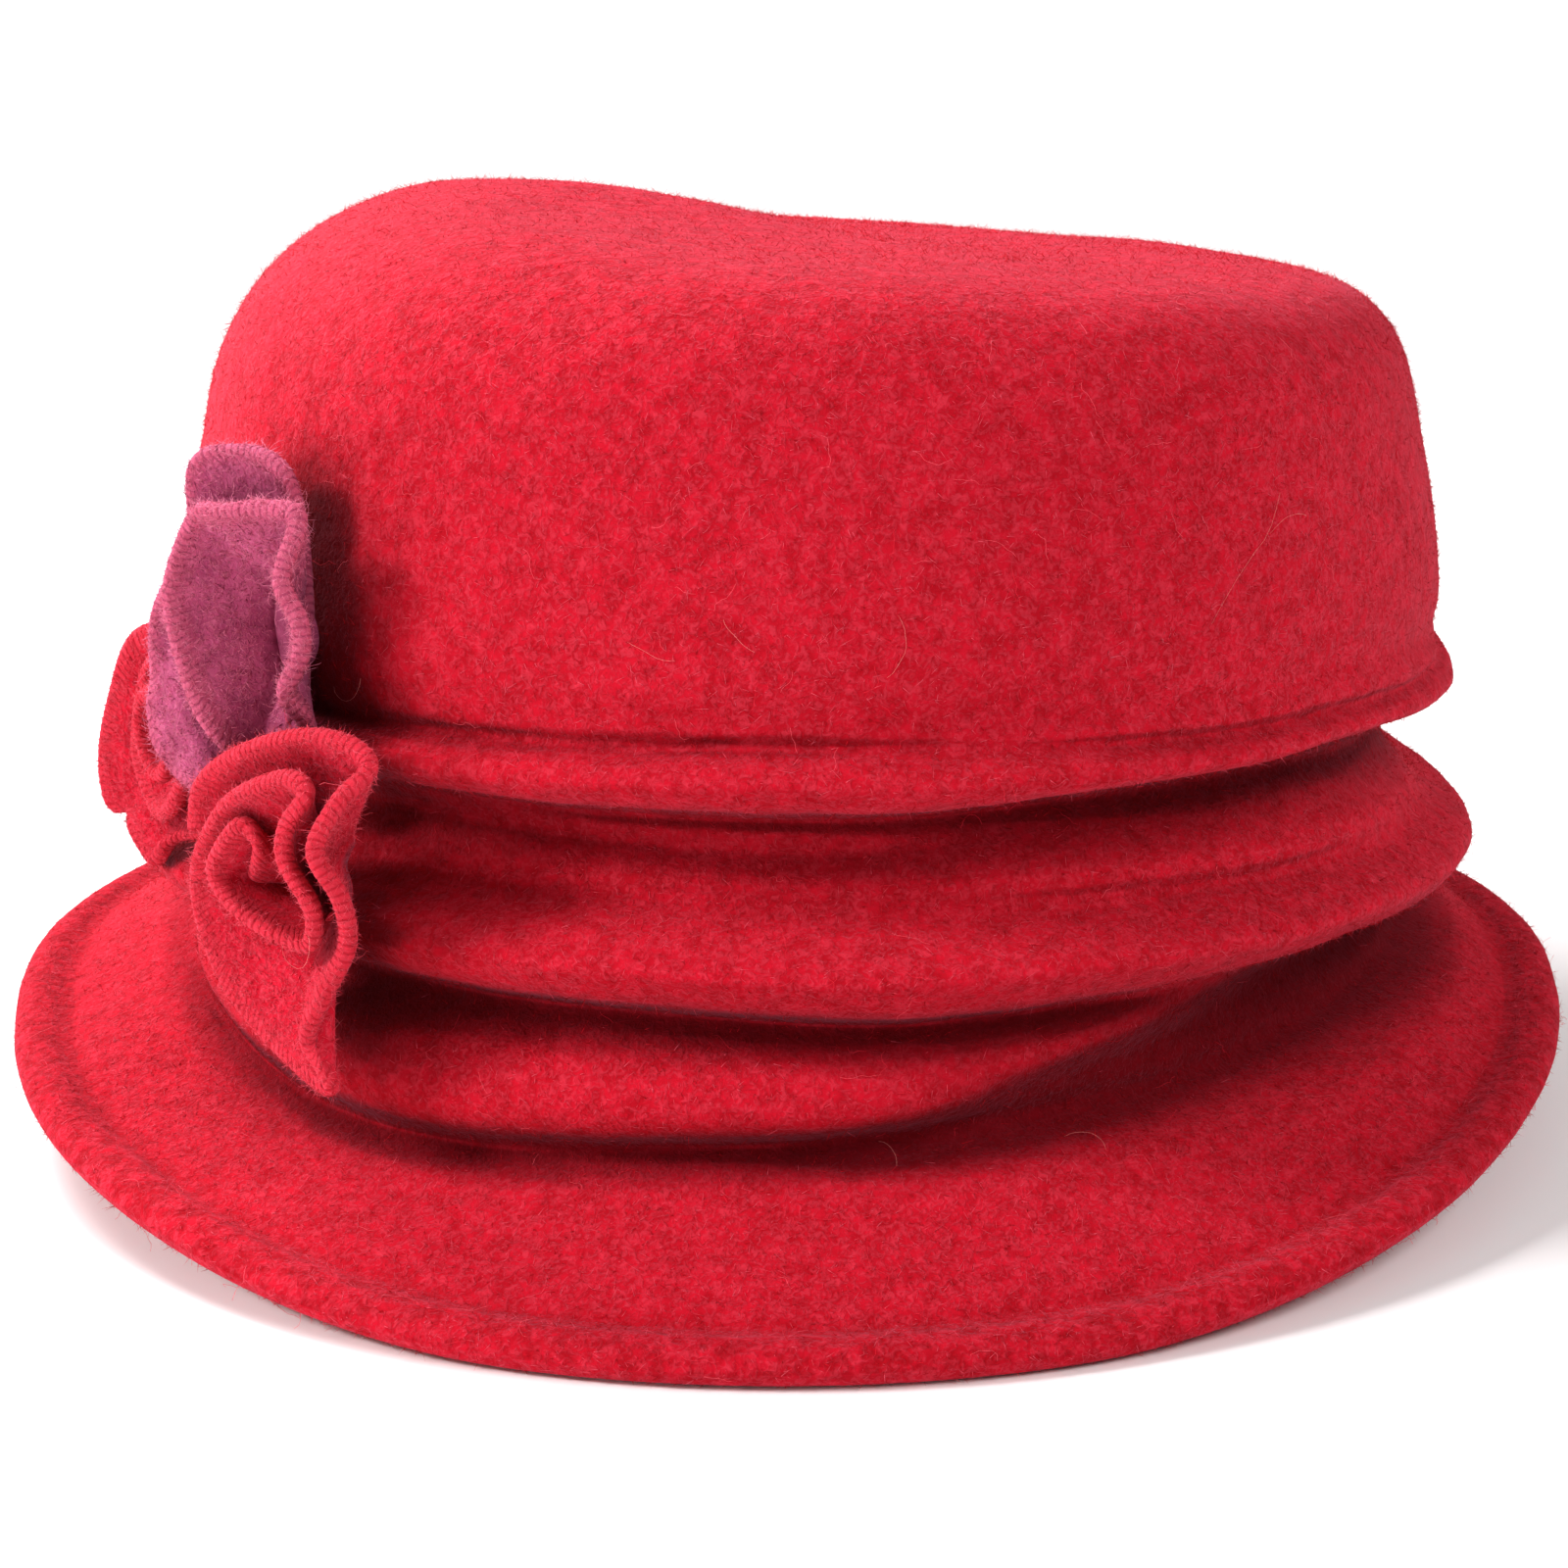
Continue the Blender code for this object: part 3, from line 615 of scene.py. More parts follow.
strips = {
    "radius": 24.0 * mm,
    "rise": 13.5 * mm,
    "thickness": 1.9 * mm,
    "cadThickness": 2.2 * mm,
    "body": ((0.0, 0.33, 0.67, 1.0), (0.55, 0.85, 1.0, 1.0)),    # way to the rim, share of the thickness
    "rimArc": (30.0, 60.0, 90.0, 120.0, 150.0),      # degrees round the rim's edge
    "footShare": 0.36,
    "padRadius": 10.5 * mm,       # of the solid's pad, which seats the rosette
    "padThickness": 2.0 * mm,
    "padShows": 5.0 * mm,         # radius of the pad that is seen under the strip's feet
    "padSides": 24,               # places round the solid's pad where the felt under it is read
    "padRings": (0.0, 0.35, 0.7, 1.0),
    "padCorners": 48,
    "padBevel": 0.6 * mm,
    "seatGap": 0.3 * mm,
    "roughStep": 1.0 * mm,        # rim between two sections when the strip is draped
    "lines": 10,                  # lines along the strip from foot to rim
    "drapeRounds": 2,             # of smoothing, after it is laid over what is below
    "sideRounds": 12,             # of smoothing, for the way that its faces look
    "stitchPitch": 1.15 * mm,
    "samplesPerStitch": 5,
    "stitchDepth": 0.10 * mm,
    "stitchWidth": 2.0 * mm,
    "stitchFade": 0.35,           # share of that width over which a thread sinks in
    "stitchRound": 0.7,           # power of the thread's round back, lower is blunter
    "stitchSlant": 0.5,           # along the rim for each unit in from it
    "cordSwell": 0.32 * mm,       # edge thickened by its overlocking
    "cordReach": 1.3 * mm,
    "gapRamp": (0.75, 0.05),      # thread heights where a gap starts and is darkest
    "gapShade": 0.50,
    "ruffle": 0.45 * mm,
    "ruffleSize": 9.0 * mm,
}

# Bends of each strip's rim, from the middle of the winding outwards: across towards the front and up as
# shares of the rosette's radius, and off the pad as a share of its rise.
rosettes = (
    {
        "name": "Side", "node": "rosette_side", "slot": "red_strip", "colour": "strip",
        "bearing": 213.0, "height": 66.0 * mm, "pinch": 1.0, "bow": 0.6,
        "bends": (
            # across, up, rise
            (0.00, 0.12, 0.55), (0.16, -0.05, 0.60), (0.00, -0.22, 0.60), (-0.20, -0.05, 0.65),
            (-0.12, 0.25, 0.65), (0.22, 0.30, 0.60), (0.38, -0.05, 0.55), (0.15, -0.38, 0.58),
            (-0.26, -0.50, 0.50), (-0.49, -0.20, 0.52), (-0.38, 0.20, 0.50), (-0.10, 0.48, 0.50),
            (0.30, 0.52, 0.45), (0.60, 0.15, 0.40), (0.52, -0.34, 0.34), (0.20, -0.54, 0.26),
            (-0.14, -0.66, 0.30), (-0.36, -0.86, 0.46), (-0.54, -0.68, 0.60), (-0.66, -0.60, 0.50),
            (-0.80, -0.58, 0.67),
            (-0.76, -0.22, 0.74), (-0.56, 0.22, 0.67), (-0.40, 0.55, 0.52), (-0.14, 0.66, 0.35),
        ),
    },
    {
        "name": "Plum", "node": "rosette_plum", "slot": "plum_strip", "colour": "plum",
        "bearing": 226.5, "height": 85.0 * mm, "pinch": 0.6, "bow": 1.0,
        "bends": (
            (-0.05, -0.60, 0.20), (0.20, -0.58, 0.26), (0.37, -0.42, 0.46), (0.38, -0.24, 0.70),
            (0.47, -0.02, 0.63), (0.49, 0.20, 0.65), (0.44, 0.43, 0.76), (0.50, 0.77, 0.60),
            (0.28, 0.80, 0.66), (-0.02, 0.76, 0.80), (-0.30, 0.70, 0.80), (-0.52, 0.26, 0.89),
            (-0.45, -0.12, 0.89), (-0.28, -0.52, 0.80), (-0.10, -0.76, 0.45), (0.18, -0.72, 0.28),
            (0.14, -0.48, 0.12), (0.14, -0.08, 0.10), (0.14, 0.42, 0.10), (0.16, 0.76, 0.14),
            (0.06, 0.98, 0.22), (-0.24, 1.04, 0.28), (-0.52, 0.95, 0.50), (-0.64, 0.50, 0.45),
            (-0.84, 0.05, 0.66), (-0.86, -0.42, 0.70), (-0.72, -0.82, 0.68), (-0.36, -0.96, 0.60),
        ),
    },
    {
        "name": "Front", "node": "rosette_front", "slot": "red_strip", "colour": "strip",
        "bearing": 232.5, "height": 52.0 * mm, "pinch": 1.0, "bow": 0.6,
        "bends": (
            (-0.22, 0.10, 0.62), (-0.08, 0.30, 0.80), (-0.16, 0.43, 0.87), (-0.33, 0.27, 0.89),
            (-0.40, 0.10, 0.89), (-0.25, -0.05, 0.89), (0.06, -0.16, 0.87), (0.32, -0.18, 0.83),
            (0.38, 0.04, 0.89), (0.25, 0.31, 0.95), (0.26, 0.52, 0.95), (0.36, 0.72, 0.87),
            (0.16, 0.76, 0.83), (-0.26, 0.56, 0.80), (-0.58, 0.25, 0.70), (-0.74, -0.02, 0.60),
            (-0.75, -0.35, 0.52), (-0.56, -0.72, 0.46), (-0.12, -0.95, 0.54), (0.36, -1.04, 0.74),
            (0.26, -0.76, 0.82), (0.38, -0.50, 0.82), (0.53, -0.18, 0.70), (0.54, 0.14, 0.76),
            (0.48, 0.42, 0.95), (0.57, 0.66, 0.80), (0.68, 0.86, 0.50), (0.48, 0.98, 0.52),
            (0.10, 0.95, 0.60), (-0.38, 0.76, 0.60), (-0.66, 0.55, 0.60), (-0.76, 0.28, 0.55),
        ),
    },
)


def catmull(before, start, end, after, t):
    return 0.5 * (
        2.0 * start
        + (end - before) * t
        + (2.0 * before - 5.0 * start + 4.0 * end - after) * t * t
        + (3.0 * start - before - 3.0 * end + after) * t ** 3
    )


def stripBends(rows):
    # across, up and rise at sections a rough step apart, smooth through the rows
    last = len(rows) - 1
    sections = [np.array(rows[0])]
    for index in range(last):
        picked = [np.array(rows[min(max(index + step, 0), last)]) for step in (-1, 0, 1, 2)]
        run = np.linalg.norm(picked[2][:2] - picked[1][:2]) * strips["radius"]
        count = max(1, round(run / strips["roughStep"]))
        sections.extend(catmull(*picked, step / count) for step in range(1, count + 1))
    return np.array(sections)


def rosetteFrame(entry, below):
    # the pad's middle on the felt, the way the rosette faces, and right and up on its face
    turn = math.radians(entry["bearing"])
    outward = Vector((math.cos(turn), math.sin(turn), 0.0))
    right = Vector((-math.sin(turn), math.cos(turn), 0.0))
    axisPoint = Vector((shell["lean"], 0.0, entry["height"]))
    reaches = []
    for share in strips["padRings"]:
        for step in range(strips["padSides"]):
            angle = 2.0 * math.pi * step / strips["padSides"]
            spot = (right * math.cos(angle) + up * math.sin(angle)) * strips["padRadius"] * share
            hit = below.ray_cast(axisPoint + outward * shell["headDepth"] + spot, -outward)[0]
            reaches.append((hit - axisPoint).dot(outward))
    return axisPoint + outward * (max(reaches) + strips["seatGap"]), outward, right


def drapedSheet(entry, below):
    # middle surface of a wound strip as an array of sections by lines, draped over what lies below
    middle, outward, right = rosetteFrame(entry, below)
    bends = stripBends(entry["bends"])
    shares = np.linspace(0.0, 1.0, strips["lines"])
    thick = strips["cadThickness"]
    flat = np.zeros((len(bends), len(shares), 3))        # across, up, off the pad
    for row, (across, high, rise) in enumerate(bends):
        rim = np.array((across, high)) * strips["radius"]
        foot = rim * (entry["pinch"], 1.0) * strips["footShare"]
        for column, share in enumerate(shares):
            spot = foot + (rim - foot) * share
            low = strips["padThickness"] / 2
            off = low + (strips["rise"] * rise - low) * share ** entry["bow"]
            if column > 0:
                reaches = [0.0]
                for over, along in ((0.0, 0.0), (thick, 0.0), (-thick, 0.0), (0.0, thick), (0.0, -thick)):
                    start = middle + right * (spot[0] + over) + up * (spot[1] + along)
                    hit = below.ray_cast(start + outward * shell["headDepth"] / 2, -outward)[0]
                    if hit is not None:
                        reaches.append((hit - middle).dot(outward) + strips["seatGap"] + thick / 2)
                off = max(off, max(reaches) + thick / 2)
            flat[row, column] = (*spot, off)
    for _ in range(strips["drapeRounds"]):       # the drape's small steps, along the strip and across it
        flat[1:-1, :, 2] = flat[1:-1, :, 2] / 2 + (flat[:-2, :, 2] + flat[2:, :, 2]) / 4
        flat[:, 1:-1, 2] = flat[:, 1:-1, 2] / 2 + (flat[:, :-2, 2] + flat[:, 2:, 2]) / 4
    axes = np.array((right, up, outward))
    return np.array(middle) + flat @ axes, middle, outward


def resampled(sheet, step):
    # the same sheet with sections evenly spaced along its rim, and each one's way along it
    runs = np.linalg.norm(np.diff(sheet[:, -1], axis=0), axis=1)
    ways = np.concatenate(([0.0], np.cumsum(runs)))
    count = int(ways[-1] / step)
    wanted = np.linspace(0.0, ways[-1], count + 1)
    places = np.interp(wanted, ways, np.arange(len(ways)))
    start = np.minimum(places.astype(int), len(sheet) - 2)
    share = (places - start)[:, None, None]
    last = len(sheet) - 1
    picked = [sheet[np.clip(start + offset, 0, last)] for offset in (-1, 0, 1, 2)]
    return catmull(*picked, share), wanted


def threadRidges(ways, inFrom):
    # threads of the overlocking as ridges, from the edge to where they end
    phase = (ways[:, None] + strips["stitchSlant"] * inFrom) / strips["stitchPitch"]
    window = (strips["stitchWidth"] - inFrom) / (strips["stitchFade"] * strips["stitchWidth"])
    window = np.clip(window, 0.0, 1.0)
    backs = np.abs(np.sin(math.pi * phase)) ** strips["stitchRound"] - 0.5
    return backs * window * strips["stitchDepth"], phase, window


def thickened(entry, sheet, ways):
    # a loop of points round each section, with its place in the threads' row and how much they show there
    sections, lines = sheet.shape[:2]
    sideways = unit(np.cross(np.gradient(sheet, axis=0), np.gradient(sheet, axis=1)))
    for _ in range(strips["sideRounds"]):
        sideways[1:-1] = unit(sideways[:-2] + 2.0 * sideways[1:-1] + sideways[2:])
    inFromRim = np.linalg.norm(sheet - sheet[:, -1:], axis=2)
    shares = np.linspace(0.0, 1.0, lines)
    for row in range(sections):      # a small ruffle that grows towards the rim
        wave = noise.noise(Vector((ways[row] / strips["ruffleSize"], entry["bearing"], 0.0)))
        sheet[row] += sideways[row] * (wave * strips["ruffle"] * shares ** 2)[:, None]
    half = strips["thickness"] / 2 * np.interp(shares, *strips["body"])
    half = half[None, :] + strips["cordSwell"] * np.exp(-(inFromRim / strips["cordReach"]) ** 2)
    lift, phase, window = threadRidges(ways, inFromRim)
    body = sideways * (half + lift)[..., None]
    arc = np.radians(strips["rimArc"])
    rimLift, rimPhase, _ = threadRidges(ways, np.zeros((sections, len(arc))))
    rimHalf = (half[:, -1:] + rimLift)[..., None]
    edgeward = unit(sheet[:, -1] - sheet[:, -2])
    rim = sheet[:, -1:] + rimHalf * (
        sideways[:, -1:] * np.cos(arc)[None, :, None] + edgeward[:, None] * np.sin(arc)[None, :, None]
    )
    loops = np.concatenate((sheet + body, rim, (sheet - body)[:, ::-1]), axis=1)
    phases = np.concatenate((phase, rimPhase, phase[:, ::-1]), axis=1)
    windows = np.concatenate((window, np.ones_like(rimPhase), window[:, ::-1]), axis=1)
    return loops, phases, windows


def makeStrip(entry, below, material):
    name = "strip" + entry["name"]
    rough, middle, outward = drapedSheet(entry, below)
    sheet, ways = resampled(rough, strips["stitchPitch"] / strips["samplesPerStitch"])
    loops, phases, windows = thickened(entry, sheet, ways)
    rounds = loops.shape[1]
    rows = np.arange(len(sheet) - 1)[:, None] * rounds
    places = np.arange(rounds)[None, :]
    following = (places + 1) % rounds
    nextRows = rows + rounds
    faces = np.stack((rows + places, rows + following, nextRows + following, nextRows + places), axis=2)
    mesh = meshFrom(name, loops.reshape(-1, 3), faces.reshape(-1, 4))
    piece = newPiece(name, mesh)
    corners = cornersOf(mesh)
    values = np.stack((phases.ravel()[corners], windows.ravel()[corners]), axis=1)
    marks = mesh.uv_layers.new(name="stitches")
    marks.data.foreach_set("uv", values.astype(np.float32).ravel())
    pickOnly(piece)
    bpy.ops.object.mode_set(mode="EDIT")
    bpy.ops.mesh.select_all(action="DESELECT")
    bpy.ops.mesh.select_non_manifold()
    bpy.ops.mesh.fill_holes(sides=0)
    bpy.ops.mesh.select_all(action="SELECT")
    bpy.ops.mesh.normals_make_consistent(inside=False)
    bpy.ops.object.mode_set(mode="OBJECT")
    area = 0.5 * sum(face.area for face in mesh.polygons)
    width = float(np.linalg.norm(np.diff(rough, axis=1), axis=2).sum(axis=1).mean())
    print(name, "rim", round(ways[-1] / mm), "mm, width", round(width / mm, 1), "mm")
    return feltPiece(piece, material), (width, area / width), middle, outward


def makePad(entry, middle, outward, material):
    name = "pad" + entry["name"]
    turn = outward.to_track_quat("Z", "Y").to_euler()
    bpy.ops.object.select_all(action="DESELECT")
    bpy.ops.mesh.primitive_cylinder_add(
        vertices=strips["padCorners"], radius=strips["padShows"], depth=strips["padThickness"],
        location=middle + outward * strips["padThickness"] / 2, rotation=turn)
    piece = bpy.context.active_object
    piece.name = name
    piece.data.name = name
    bpy.ops.object.transform_apply(location=True, rotation=True, scale=True)
    rounded = piece.modifiers.new("rounded", "BEVEL")
    rounded.width = strips["padBevel"]
    rounded.segments = 3
    bpy.ops.object.modifier_apply(modifier="rounded")
    return feltPiece(piece, material)


# Nap and fibres

nap = {
    "length": (0.5 * mm, 2.1 * mm),
    "thickness": (0.030 * mm, 0.060 * mm),
    "lift": (4.0, 55.0),          # degrees off the felt
    "rootDepth": 0.03 * mm,
    "sliver": ((1.0, 0.0), (-0.5, 0.87), (-0.5, -0.87)),     # corners of a tuft's root, aside and up
    "surface": {"Roughness": 0.8, "Specular IOR Level": 0.2},
    "insideShare": 0.10,          # density inside the hat, as a share of that outside
    "leastShare": 0.02,           # density that the liking for creases leaves everywhere
    "lookFrom": 0.3,              # metres away, where a ray starts that tells outside from inside
    "lookSlack": 0.4 * mm,
    "coats": (
        # name, worn by, tufts, liking for creases, colour, seed. The liking is a painted shade: the pale
        # coats thin out and napDeep gathers where folds close the felt off
        ("napBright", "red", 36000, -3.0, (0.72, 0.120, 0.170), 3),
        ("napRed", "red", 38000, -1.5, (0.60, 0.010, 0.024), 5),
        ("napDeep", "red", 34000, 3.0, (0.38, 0.004, 0.010), 8),
        ("napStrip", "strip", 8000, -2.5, (0.84, 0.120, 0.170), 9),
        ("napPlum", "plum", 8000, -2.5, (0.80, 0.250, 0.37), 13),
        ("napPlumDeep", "plum", 2500, -0.5, (0.28, 0.030, 0.085), 21),
    ),
}

curls = {
    "steps": 6,
    "length": (2.5 * mm, 6.0 * mm),
    "thickness": 0.05 * mm,
    "turn": 32.0,                 # degrees, most at each step
    "lift": 0.30 * mm,
    "rootDepth": 0.05 * mm,
    "coats": (
        # name, worn by, fibres, liking for creases, colour, seed. The liking is a painted shade: these pale
        # curls thin out where folds close the felt off
        ("curlsRed", "red", 2000, -1.5, (0.76, 0.035, 0.065), 34),
        ("curlsPink", "red", 450, -2.0, (0.86, 0.14, 0.18), 55),
        ("curlsPlum", "plum", 220, -2.0, (0.74, 0.22, 0.32), 89),
    ),
}

# Stray pale fibres where the photograph shows them, each grown from the felt that its pixel sees
strays = {
    "steps": 9,
    "thickness": 0.045 * mm,
    "lift": 0.8 * mm,
    "clear": 0.15 * mm,           # off the felt even at its tip
    "wobble": 11.0,               # degrees, most at each step
    "seed": 144,
    "colour": (0.80, 0.33, 0.30),
    "places": (
        # photo x, photo y, heading from the right, length, turn at each step
        (1236, 638, 55.0, 21.0 * mm, 3.0),
        (1296, 545, 72.0, 8.0 * mm, -6.0),
        (738, 632, -75.0, 6.0 * mm, 4.0),
        (905, 692, 30.0, 9.0 * mm, 8.0),
        (640, 655, -20.0, 7.0 * mm, 5.0),
        (340, 700, -60.0, 9.0 * mm, 16.0),
        (288, 962, -110.0, 11.0 * mm, 24.0),
        (350, 1040, -80.0, 7.0 * mm, -14.0),
        (915, 1190, 80.0, 6.0 * mm, 9.0),
        (1085, 1160, 20.0, 7.0 * mm, -8.0),
    ),
}


def openTriangles(piece, skin=None):
    # corners, normal and area of each triangle, and for the shell only those that show from outside or above
    mesh = piece.data
    mesh.calc_loop_triangles()
    corners = valuesOf(mesh.loop_triangles, "vertices", 3, np.int32)
    triangles = placesOf(mesh)[corners]
    normals = np.cross(triangles[:, 1] - triangles[:, 0], triangles[:, 2] - triangles[:, 0])
    areas = np.linalg.norm(normals, axis=1) / 2
    normals = unit(normals)
    creases = valuesOf(mesh.attributes["crease"].data, "value")[corners].mean(axis=1)
    weights = np.ones(len(areas))
    if skin is not None:
        middles = triangles.mean(axis=1)
        for index, centre in enumerate(middles):
            spot = Vector(centre)
            seen = False
            for way in (awayFrom(spot), up):
                hit = skin.ray_cast(spot + way * nap["lookFrom"], -way)[0]
                if hit is not None and (hit - spot).length < nap["lookSlack"]:
                    seen = True
            weights[index] = 1.0 if seen else nap["insideShare"]
    return triangles, normals, areas * weights, creases


def scatter(fields, count, liking, rng):
    # places on the triangles with their normals, evenly by weight but for the liking for creases, which
    # paints shade into the folds by thinning or gathering fibres there
    triangles, normals, weights, creases = [np.concatenate(parts) for parts in zip(*fields)]
    weights = weights * np.maximum(1.0 + liking * creases, nap["leastShare"])
    chosen = rng.choice(len(weights), size=count, p=weights / weights.sum())
    first, second = rng.random((2, count))
    folded = first + second > 1.0
    first[folded], second[folded] = 1.0 - first[folded], 1.0 - second[folded]
    picked = triangles[chosen]
    spots = (
        picked[:, 0]
        + (picked[:, 1] - picked[:, 0]) * first[:, None]
        + (picked[:, 2] - picked[:, 0]) * second[:, None]
    )
    return spots, normals[chosen]


def tangents(normals, rng):
    random = rng.normal(size=normals.shape)
    return unit(random - normals * (random * normals).sum(axis=1, keepdims=True))


def fibrePiece(name, points, own, material):
    # all fibres as one piece, from each one's points and the corners of its own triangles
    points = points[points[:, :, 2].min(axis=1) > 0.0]       # none pricks the surface that the hat rests on
    starts = np.arange(len(points)) * points.shape[1]
    faces = starts[:, None, None] + np.array(own)
    mesh = meshFrom(name, points.reshape(-1, 3), faces.reshape(-1, 3))
    return feltPiece(newPiece(name, mesh), material)


def makeNap(name, fields, count, liking, material, seed):
    # short straight hairs: each a closed sliver of four triangles
    rng = np.random.default_rng(seed)
    spots, normals = scatter(fields, count, liking, rng)
    lifts = np.radians(rng.uniform(*nap["lift"], count))[:, None]
    ways = tangents(normals, rng) * np.cos(lifts) + normals * np.sin(lifts)
    lengths = nap["length"][0] + (nap["length"][1] - nap["length"][0]) * rng.random((count, 1)) ** 2
    widths = rng.uniform(*nap["thickness"], (count, 1))
    sides = unit(np.cross(ways, normals))
    tops = np.cross(sides, ways)
    roots = spots - normals * nap["rootDepth"]
    corners = [roots + sides * widths * aside + tops * widths * upward for aside, upward in nap["sliver"]]
    points = np.stack(corners + [roots + ways * lengths], axis=1)
    return fibrePiece(name, points, ((0, 2, 1), (0, 1, 3), (1, 2, 3), (2, 0, 3)), material)


def growFibres(name, spots, normals, ways, lengths, thickness, turns, lifts, material):
    # curled fibres that lie on the felt, each a closed three-sided tube, with turns and lifts by step
    count, steps = turns.shape
    path = [spots]
    way = ways
    for step in range(steps):
        turn = np.radians(turns[:, step])[:, None]
        way = unit(way * np.cos(turn) + np.cross(normals, way) * np.sin(turn))
        path.append(path[-1] + way * lengths[:, None] / steps)
    heights = np.concatenate((np.full((count, 1), -curls["rootDepth"]), lifts), axis=1)
    line = np.stack(path, axis=1) + normals[:, None] * heights[..., None]
    forward = unit(np.gradient(line, axis=1))
    sides = unit(np.cross(forward, np.repeat(normals[:, None], steps + 1, axis=1)))
    tops = np.cross(sides, forward)
    rings = []
    for corner in range(3):
        angle = 2.0 * math.pi * corner / 3
        rings.append(line + (sides * math.cos(angle) + tops * math.sin(angle)) * thickness / 2)
    own = []
    for step in range(steps):
        for corner in range(3):
            a, b = step * 3 + corner, step * 3 + (corner + 1) % 3
            own += [(a, b, b + 3), (a, b + 3, a + 3)]
    last = steps * 3
    own += [(0, 2, 1), (last, last + 1, last + 2)]
    return fibrePiece(name, np.stack(rings, axis=2).reshape(count, -1, 3), own, material)


def makeCurls(name, fields, count, liking, material, seed):
    rng = np.random.default_rng(seed)
    spots, normals = scatter(fields, count, liking, rng)
    steps = curls["steps"]
    lengths = rng.uniform(*curls["length"], count)
    turns = rng.normal(0.0, curls["turn"], (count, steps))
    lifts = rng.uniform(0.0, curls["lift"], (count, steps))
    ways = tangents(normals, rng)
    return growFibres(name, spots, normals, ways, lengths, curls["thickness"], turns, lifts, material)


def makeStrays(surface, material):
    # the pixel's ray from the camera finds the felt
    tilt = math.radians(room["tilt"])
    eye = Vector(room["camera"])
    ahead = Vector((0.0, math.sin(tilt), -math.cos(tilt)))
    upward = Vector((0.0, math.cos(tilt), math.sin(tilt)))
    right = Vector((1.0, 0.0, 0.0))
    span = room["sensor"] / room["lens"] / room["photoSize"]
    rng = np.random.default_rng(strays["seed"])
    middle = room["photoSize"] / 2
    grown = []
    for x, y, heading, length, turn in strays["places"]:
        ray = (ahead + right * (x - middle) * span - upward * (y - middle) * span).normalized()
        hit, normal = surface.ray_cast(eye, ray)[:2]
        if hit is None:
            continue
        angle = math.radians(heading)
        way = right * math.cos(angle) + upward * math.sin(angle)
        way = (way - normal * way.dot(normal)).normalized()
        turns = turn + rng.uniform(-strays["wobble"], strays["wobble"], strays["steps"])
        grown.append((hit, normal, way, length, turns))
    spots, normals, ways, lengths, turns = [np.array(column) for column in zip(*grown)]
    swell = np.sin(np.linspace(0.0, math.pi, strays["steps"] + 1))[1:] * strays["lift"] + strays["clear"]
    lifts = np.tile(swell, (len(spots), 1))
    thickness = strays["thickness"]
    return growFibres("strayFibres", spots, normals, ways, lengths, thickness, turns, lifts, material)


# Room

room = {
    "camera": (-0.65 * mm, -449.1 * mm, 165.0 * mm),
    "tilt": 74.744,               # degrees up from straight down
    "lens": 62.83,                # mm
    "sensor": 36.0,               # mm
    "nearest": 0.01,              # metres, nearest that the camera sees
    "photoSize": 1600,            # pixels a side
    "floorSize": 8.0,
    "floorDrop": 0.05 * mm,       # under the hem, so that the two don't share a plane
    "worldLight": 0.26,
    "backdropLight": 0.96,        # what the camera sees of the world, as pale as the floor
    "floorPaint": {
        "Base Color": (0.96, 0.96, 0.96, 1.0), "Roughness": 0.9, "Specular IOR Level": 0.1,
    },
    "look": "Medium High Contrast",
    "windows": (
        # name, where it stands, watts for each square metre, width in degrees
        ("keyWindow", (-0.92, -0.18, 0.62), 2.08, 14.0),
        ("lowWindow", (-0.92, -0.36, 0.14), 0.62, 14.0),
        ("fillWindow", (0.68, -0.42, 0.86), 1.42, 30.0),
    ),
    "rimLight": {"place": (-0.45, 0.38, 0.60), "aim": (0.0, 0.0, 0.11), "size": 0.4, "watts": 7.0},
}


def makeRoom():
    bpy.ops.object.select_all(action="DESELECT")
    bpy.ops.mesh.primitive_plane_add(size=room["floorSize"], location=(0.0, 0.0, -room["floorDrop"]))
    floor = bpy.context.active_object
    floor.name = "floor"
    floor.data.materials.append(newMaterial("paleFloor", room["floorPaint"]))
    world = bpy.data.worlds.new("studio")
    world.use_nodes = True
    tree = world.node_tree
    seen = addNode(tree, "ShaderNodeLightPath", {}).outputs["Is Camera Ray"]
    strength = {"Value": seen, "To Min": room["worldLight"], "To Max": room["backdropLight"]}
    setInputs(tree, tree.nodes["Background"], {
        "Color": (1.0, 1.0, 1.0, 1.0),
        "Strength": addNode(tree, "ShaderNodeMapRange", strength).outputs["Result"],
    })
    bpy.context.scene.world = world
    for name, stand, watts, width in room["windows"]:
        window = bpy.data.lights.new(name, "SUN")
        window.energy = watts
        window.angle = math.radians(width)
        newPiece(name, window).rotation_euler = Vector(stand).to_track_quat("Z", "Y").to_euler()
    given = room["rimLight"]
    lamp = bpy.data.lights.new("rimLight", "AREA")
    lamp.size = given["size"]
    lamp.energy = given["watts"]
    light = newPiece("rimLight", lamp)
    light.location = given["place"]
    light.rotation_euler = (Vector(given["place"]) - Vector(given["aim"])).to_track_quat("Z", "Y").to_euler()
    camera = newPiece("camera", bpy.data.cameras.new("camera"))
    camera.data.lens = room["lens"]
    camera.data.clip_start = room["nearest"]
    camera.location = room["camera"]
    camera.rotation_euler = (math.radians(room["tilt"]), 0.0, 0.0)
    bpy.context.scene.camera = camera
    bpy.context.scene.view_settings.view_transform = "Standard"
    bpy.context.scene.view_settings.look = room["look"]


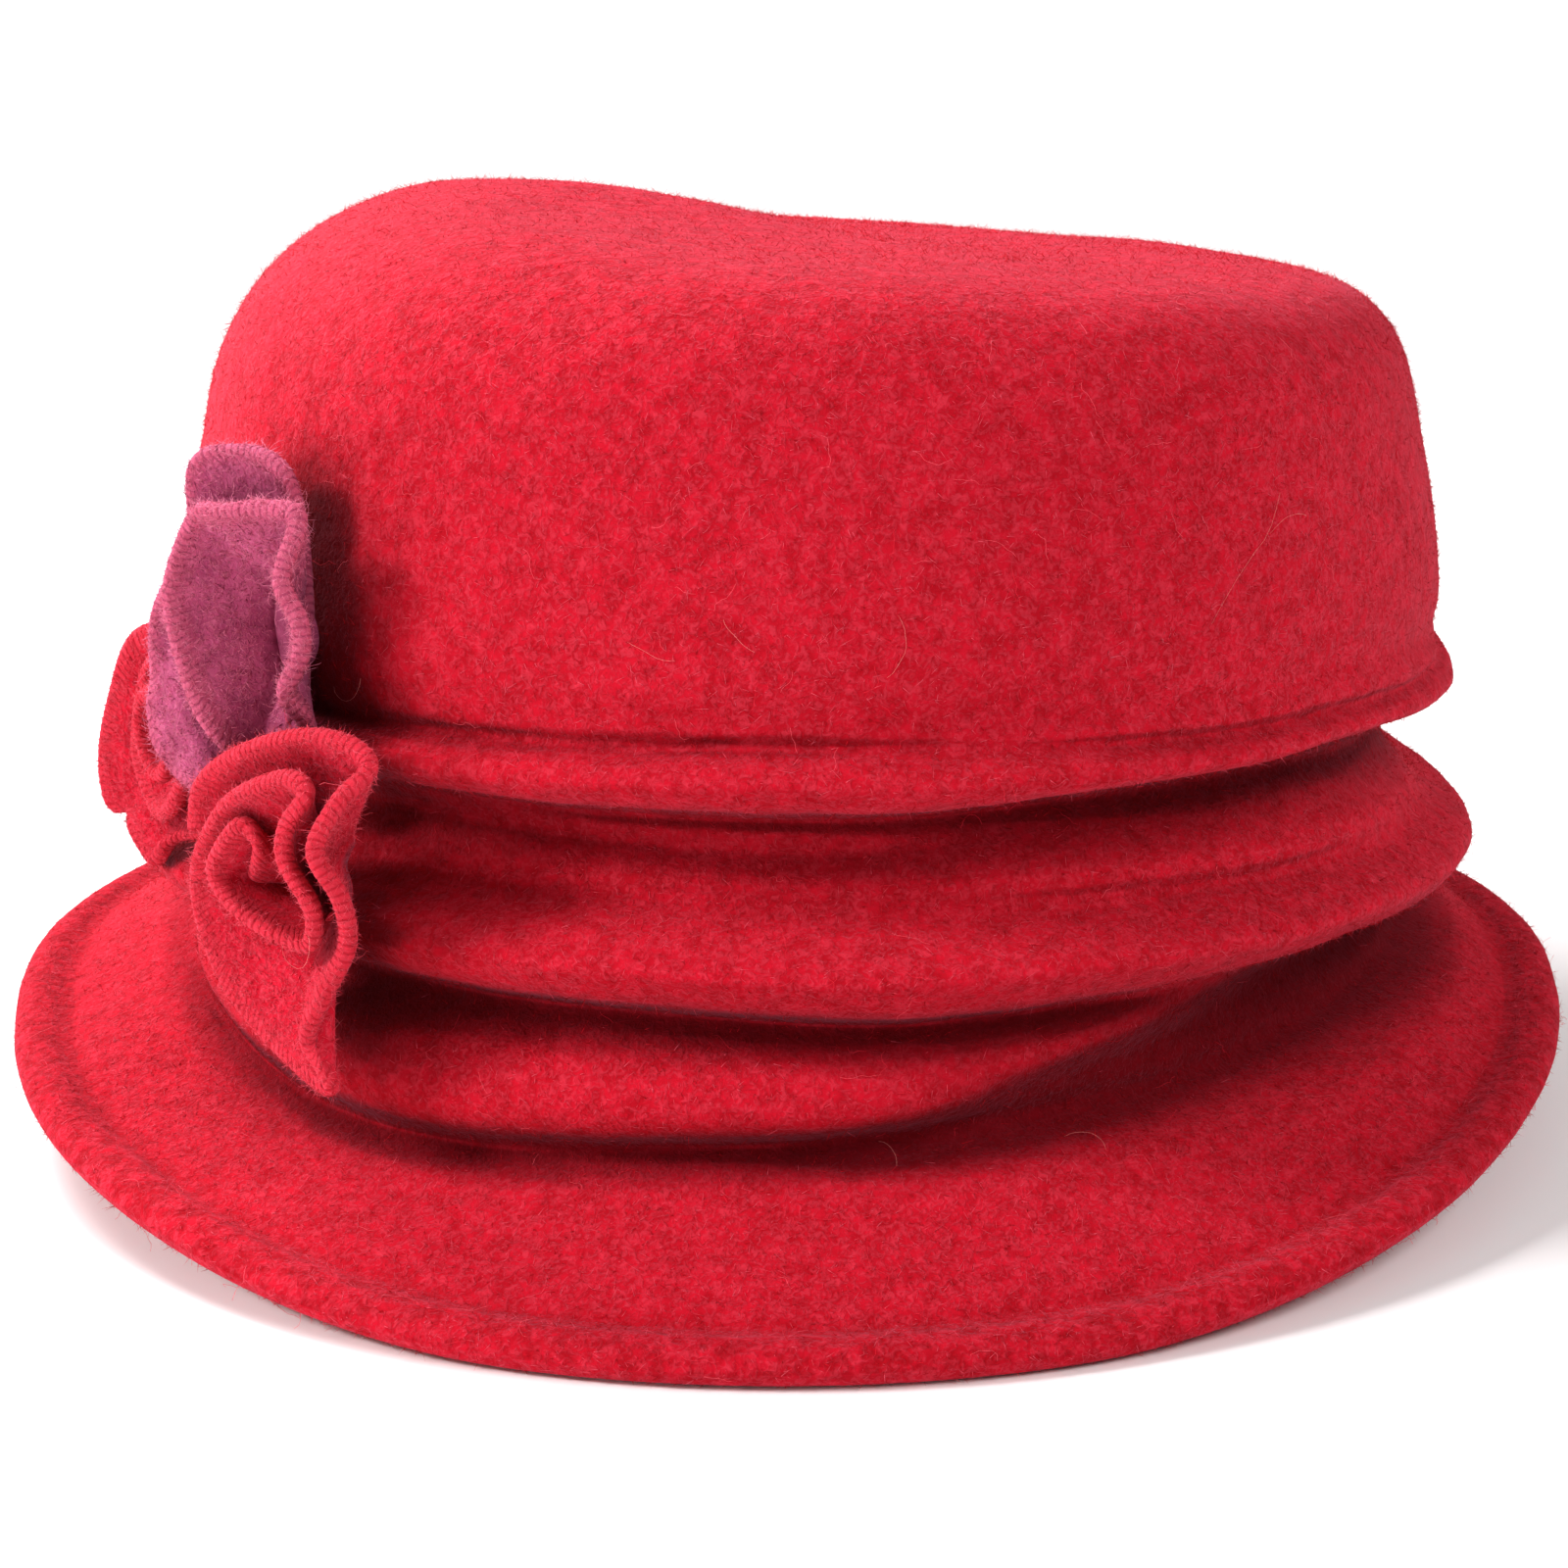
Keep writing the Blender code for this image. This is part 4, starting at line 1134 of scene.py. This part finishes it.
makeRoom()
print("room ready")
woolGroup = makeWoolGroup()
felts = {
    "red": woolMaterial("redWool", wool["red"], woolGroup, hemGroove),
    "stripPad": woolMaterial("redPadWool", wool["strip"], woolGroup),
    "strip": woolMaterial("redStripWool", wool["strip"], woolGroup, stitchGaps),
    "plum": woolMaterial("plumStripWool", wool["plum"], woolGroup, stitchGaps),
    "plumPad": woolMaterial("plumWool", wool["plum"], woolGroup),
}
hat = ended(makeShell(felts["red"]), "red_wool")
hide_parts("hat_body")
print("shell ready:", len(hat.data.polygons), "faces")

carriers = [frame["nodes"]["hat_body"]]
wound = {"strip": [], "plum": []}
pads = []
for entry in rosettes:
    strip, flat, middle, outward = makeStrip(entry, surfaceOf(carriers), felts[entry["colour"]])
    pad = makePad(entry, middle, outward, felts[entry["colour"] + "Pad"])
    ended(strip, entry["slot"])
    ended(pad, entry["slot"])
    pads.append(pad)
    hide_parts(entry["node"])
    carriers.append(frame["nodes"][entry["node"]])
    wound[entry["colour"]].append(strip)
    print("rosette", entry["name"], "ready:", len(strip.data.polygons), "faces")

dressed = [hat] + wound["strip"] + wound["plum"]
around = surfaceOf(dressed)
for piece in dressed + pads:
    markCreases(piece, around)
print("creases measured")
fields = {colour: [openTriangles(strip) for strip in wound[colour]] for colour in wound}
fields["red"] = [openTriangles(hat, surfaceOf([hat]))] + fields["strip"]
slots = {"red": "red_wool", "strip": "red_strip", "plum": "plum_strip"}
for name, wearer, count, liking, colour, seed in nap["coats"]:
    ended(makeNap(name, fields[wearer], count, liking, fibreMaterial(name, colour), seed), slots[wearer])
for name, wearer, count, liking, colour, seed in curls["coats"]:
    ended(makeCurls(name, fields[wearer], count, liking, fibreMaterial(name, colour), seed), slots[wearer])
ended(makeStrays(around, fibreMaterial("paleFibre", strays["colour"])), "red_wool")
triangles = 0
for piece in bpy.context.scene.objects:
    if piece.type == "MESH" and not piece.hide_render and piece.name != "floor":
        piece.data.calc_loop_triangles()
        triangles += len(piece.data.loop_triangles)
        print(piece.name, len(piece.data.loop_triangles), "triangles")
print("nap ready,", triangles, "triangles in all")
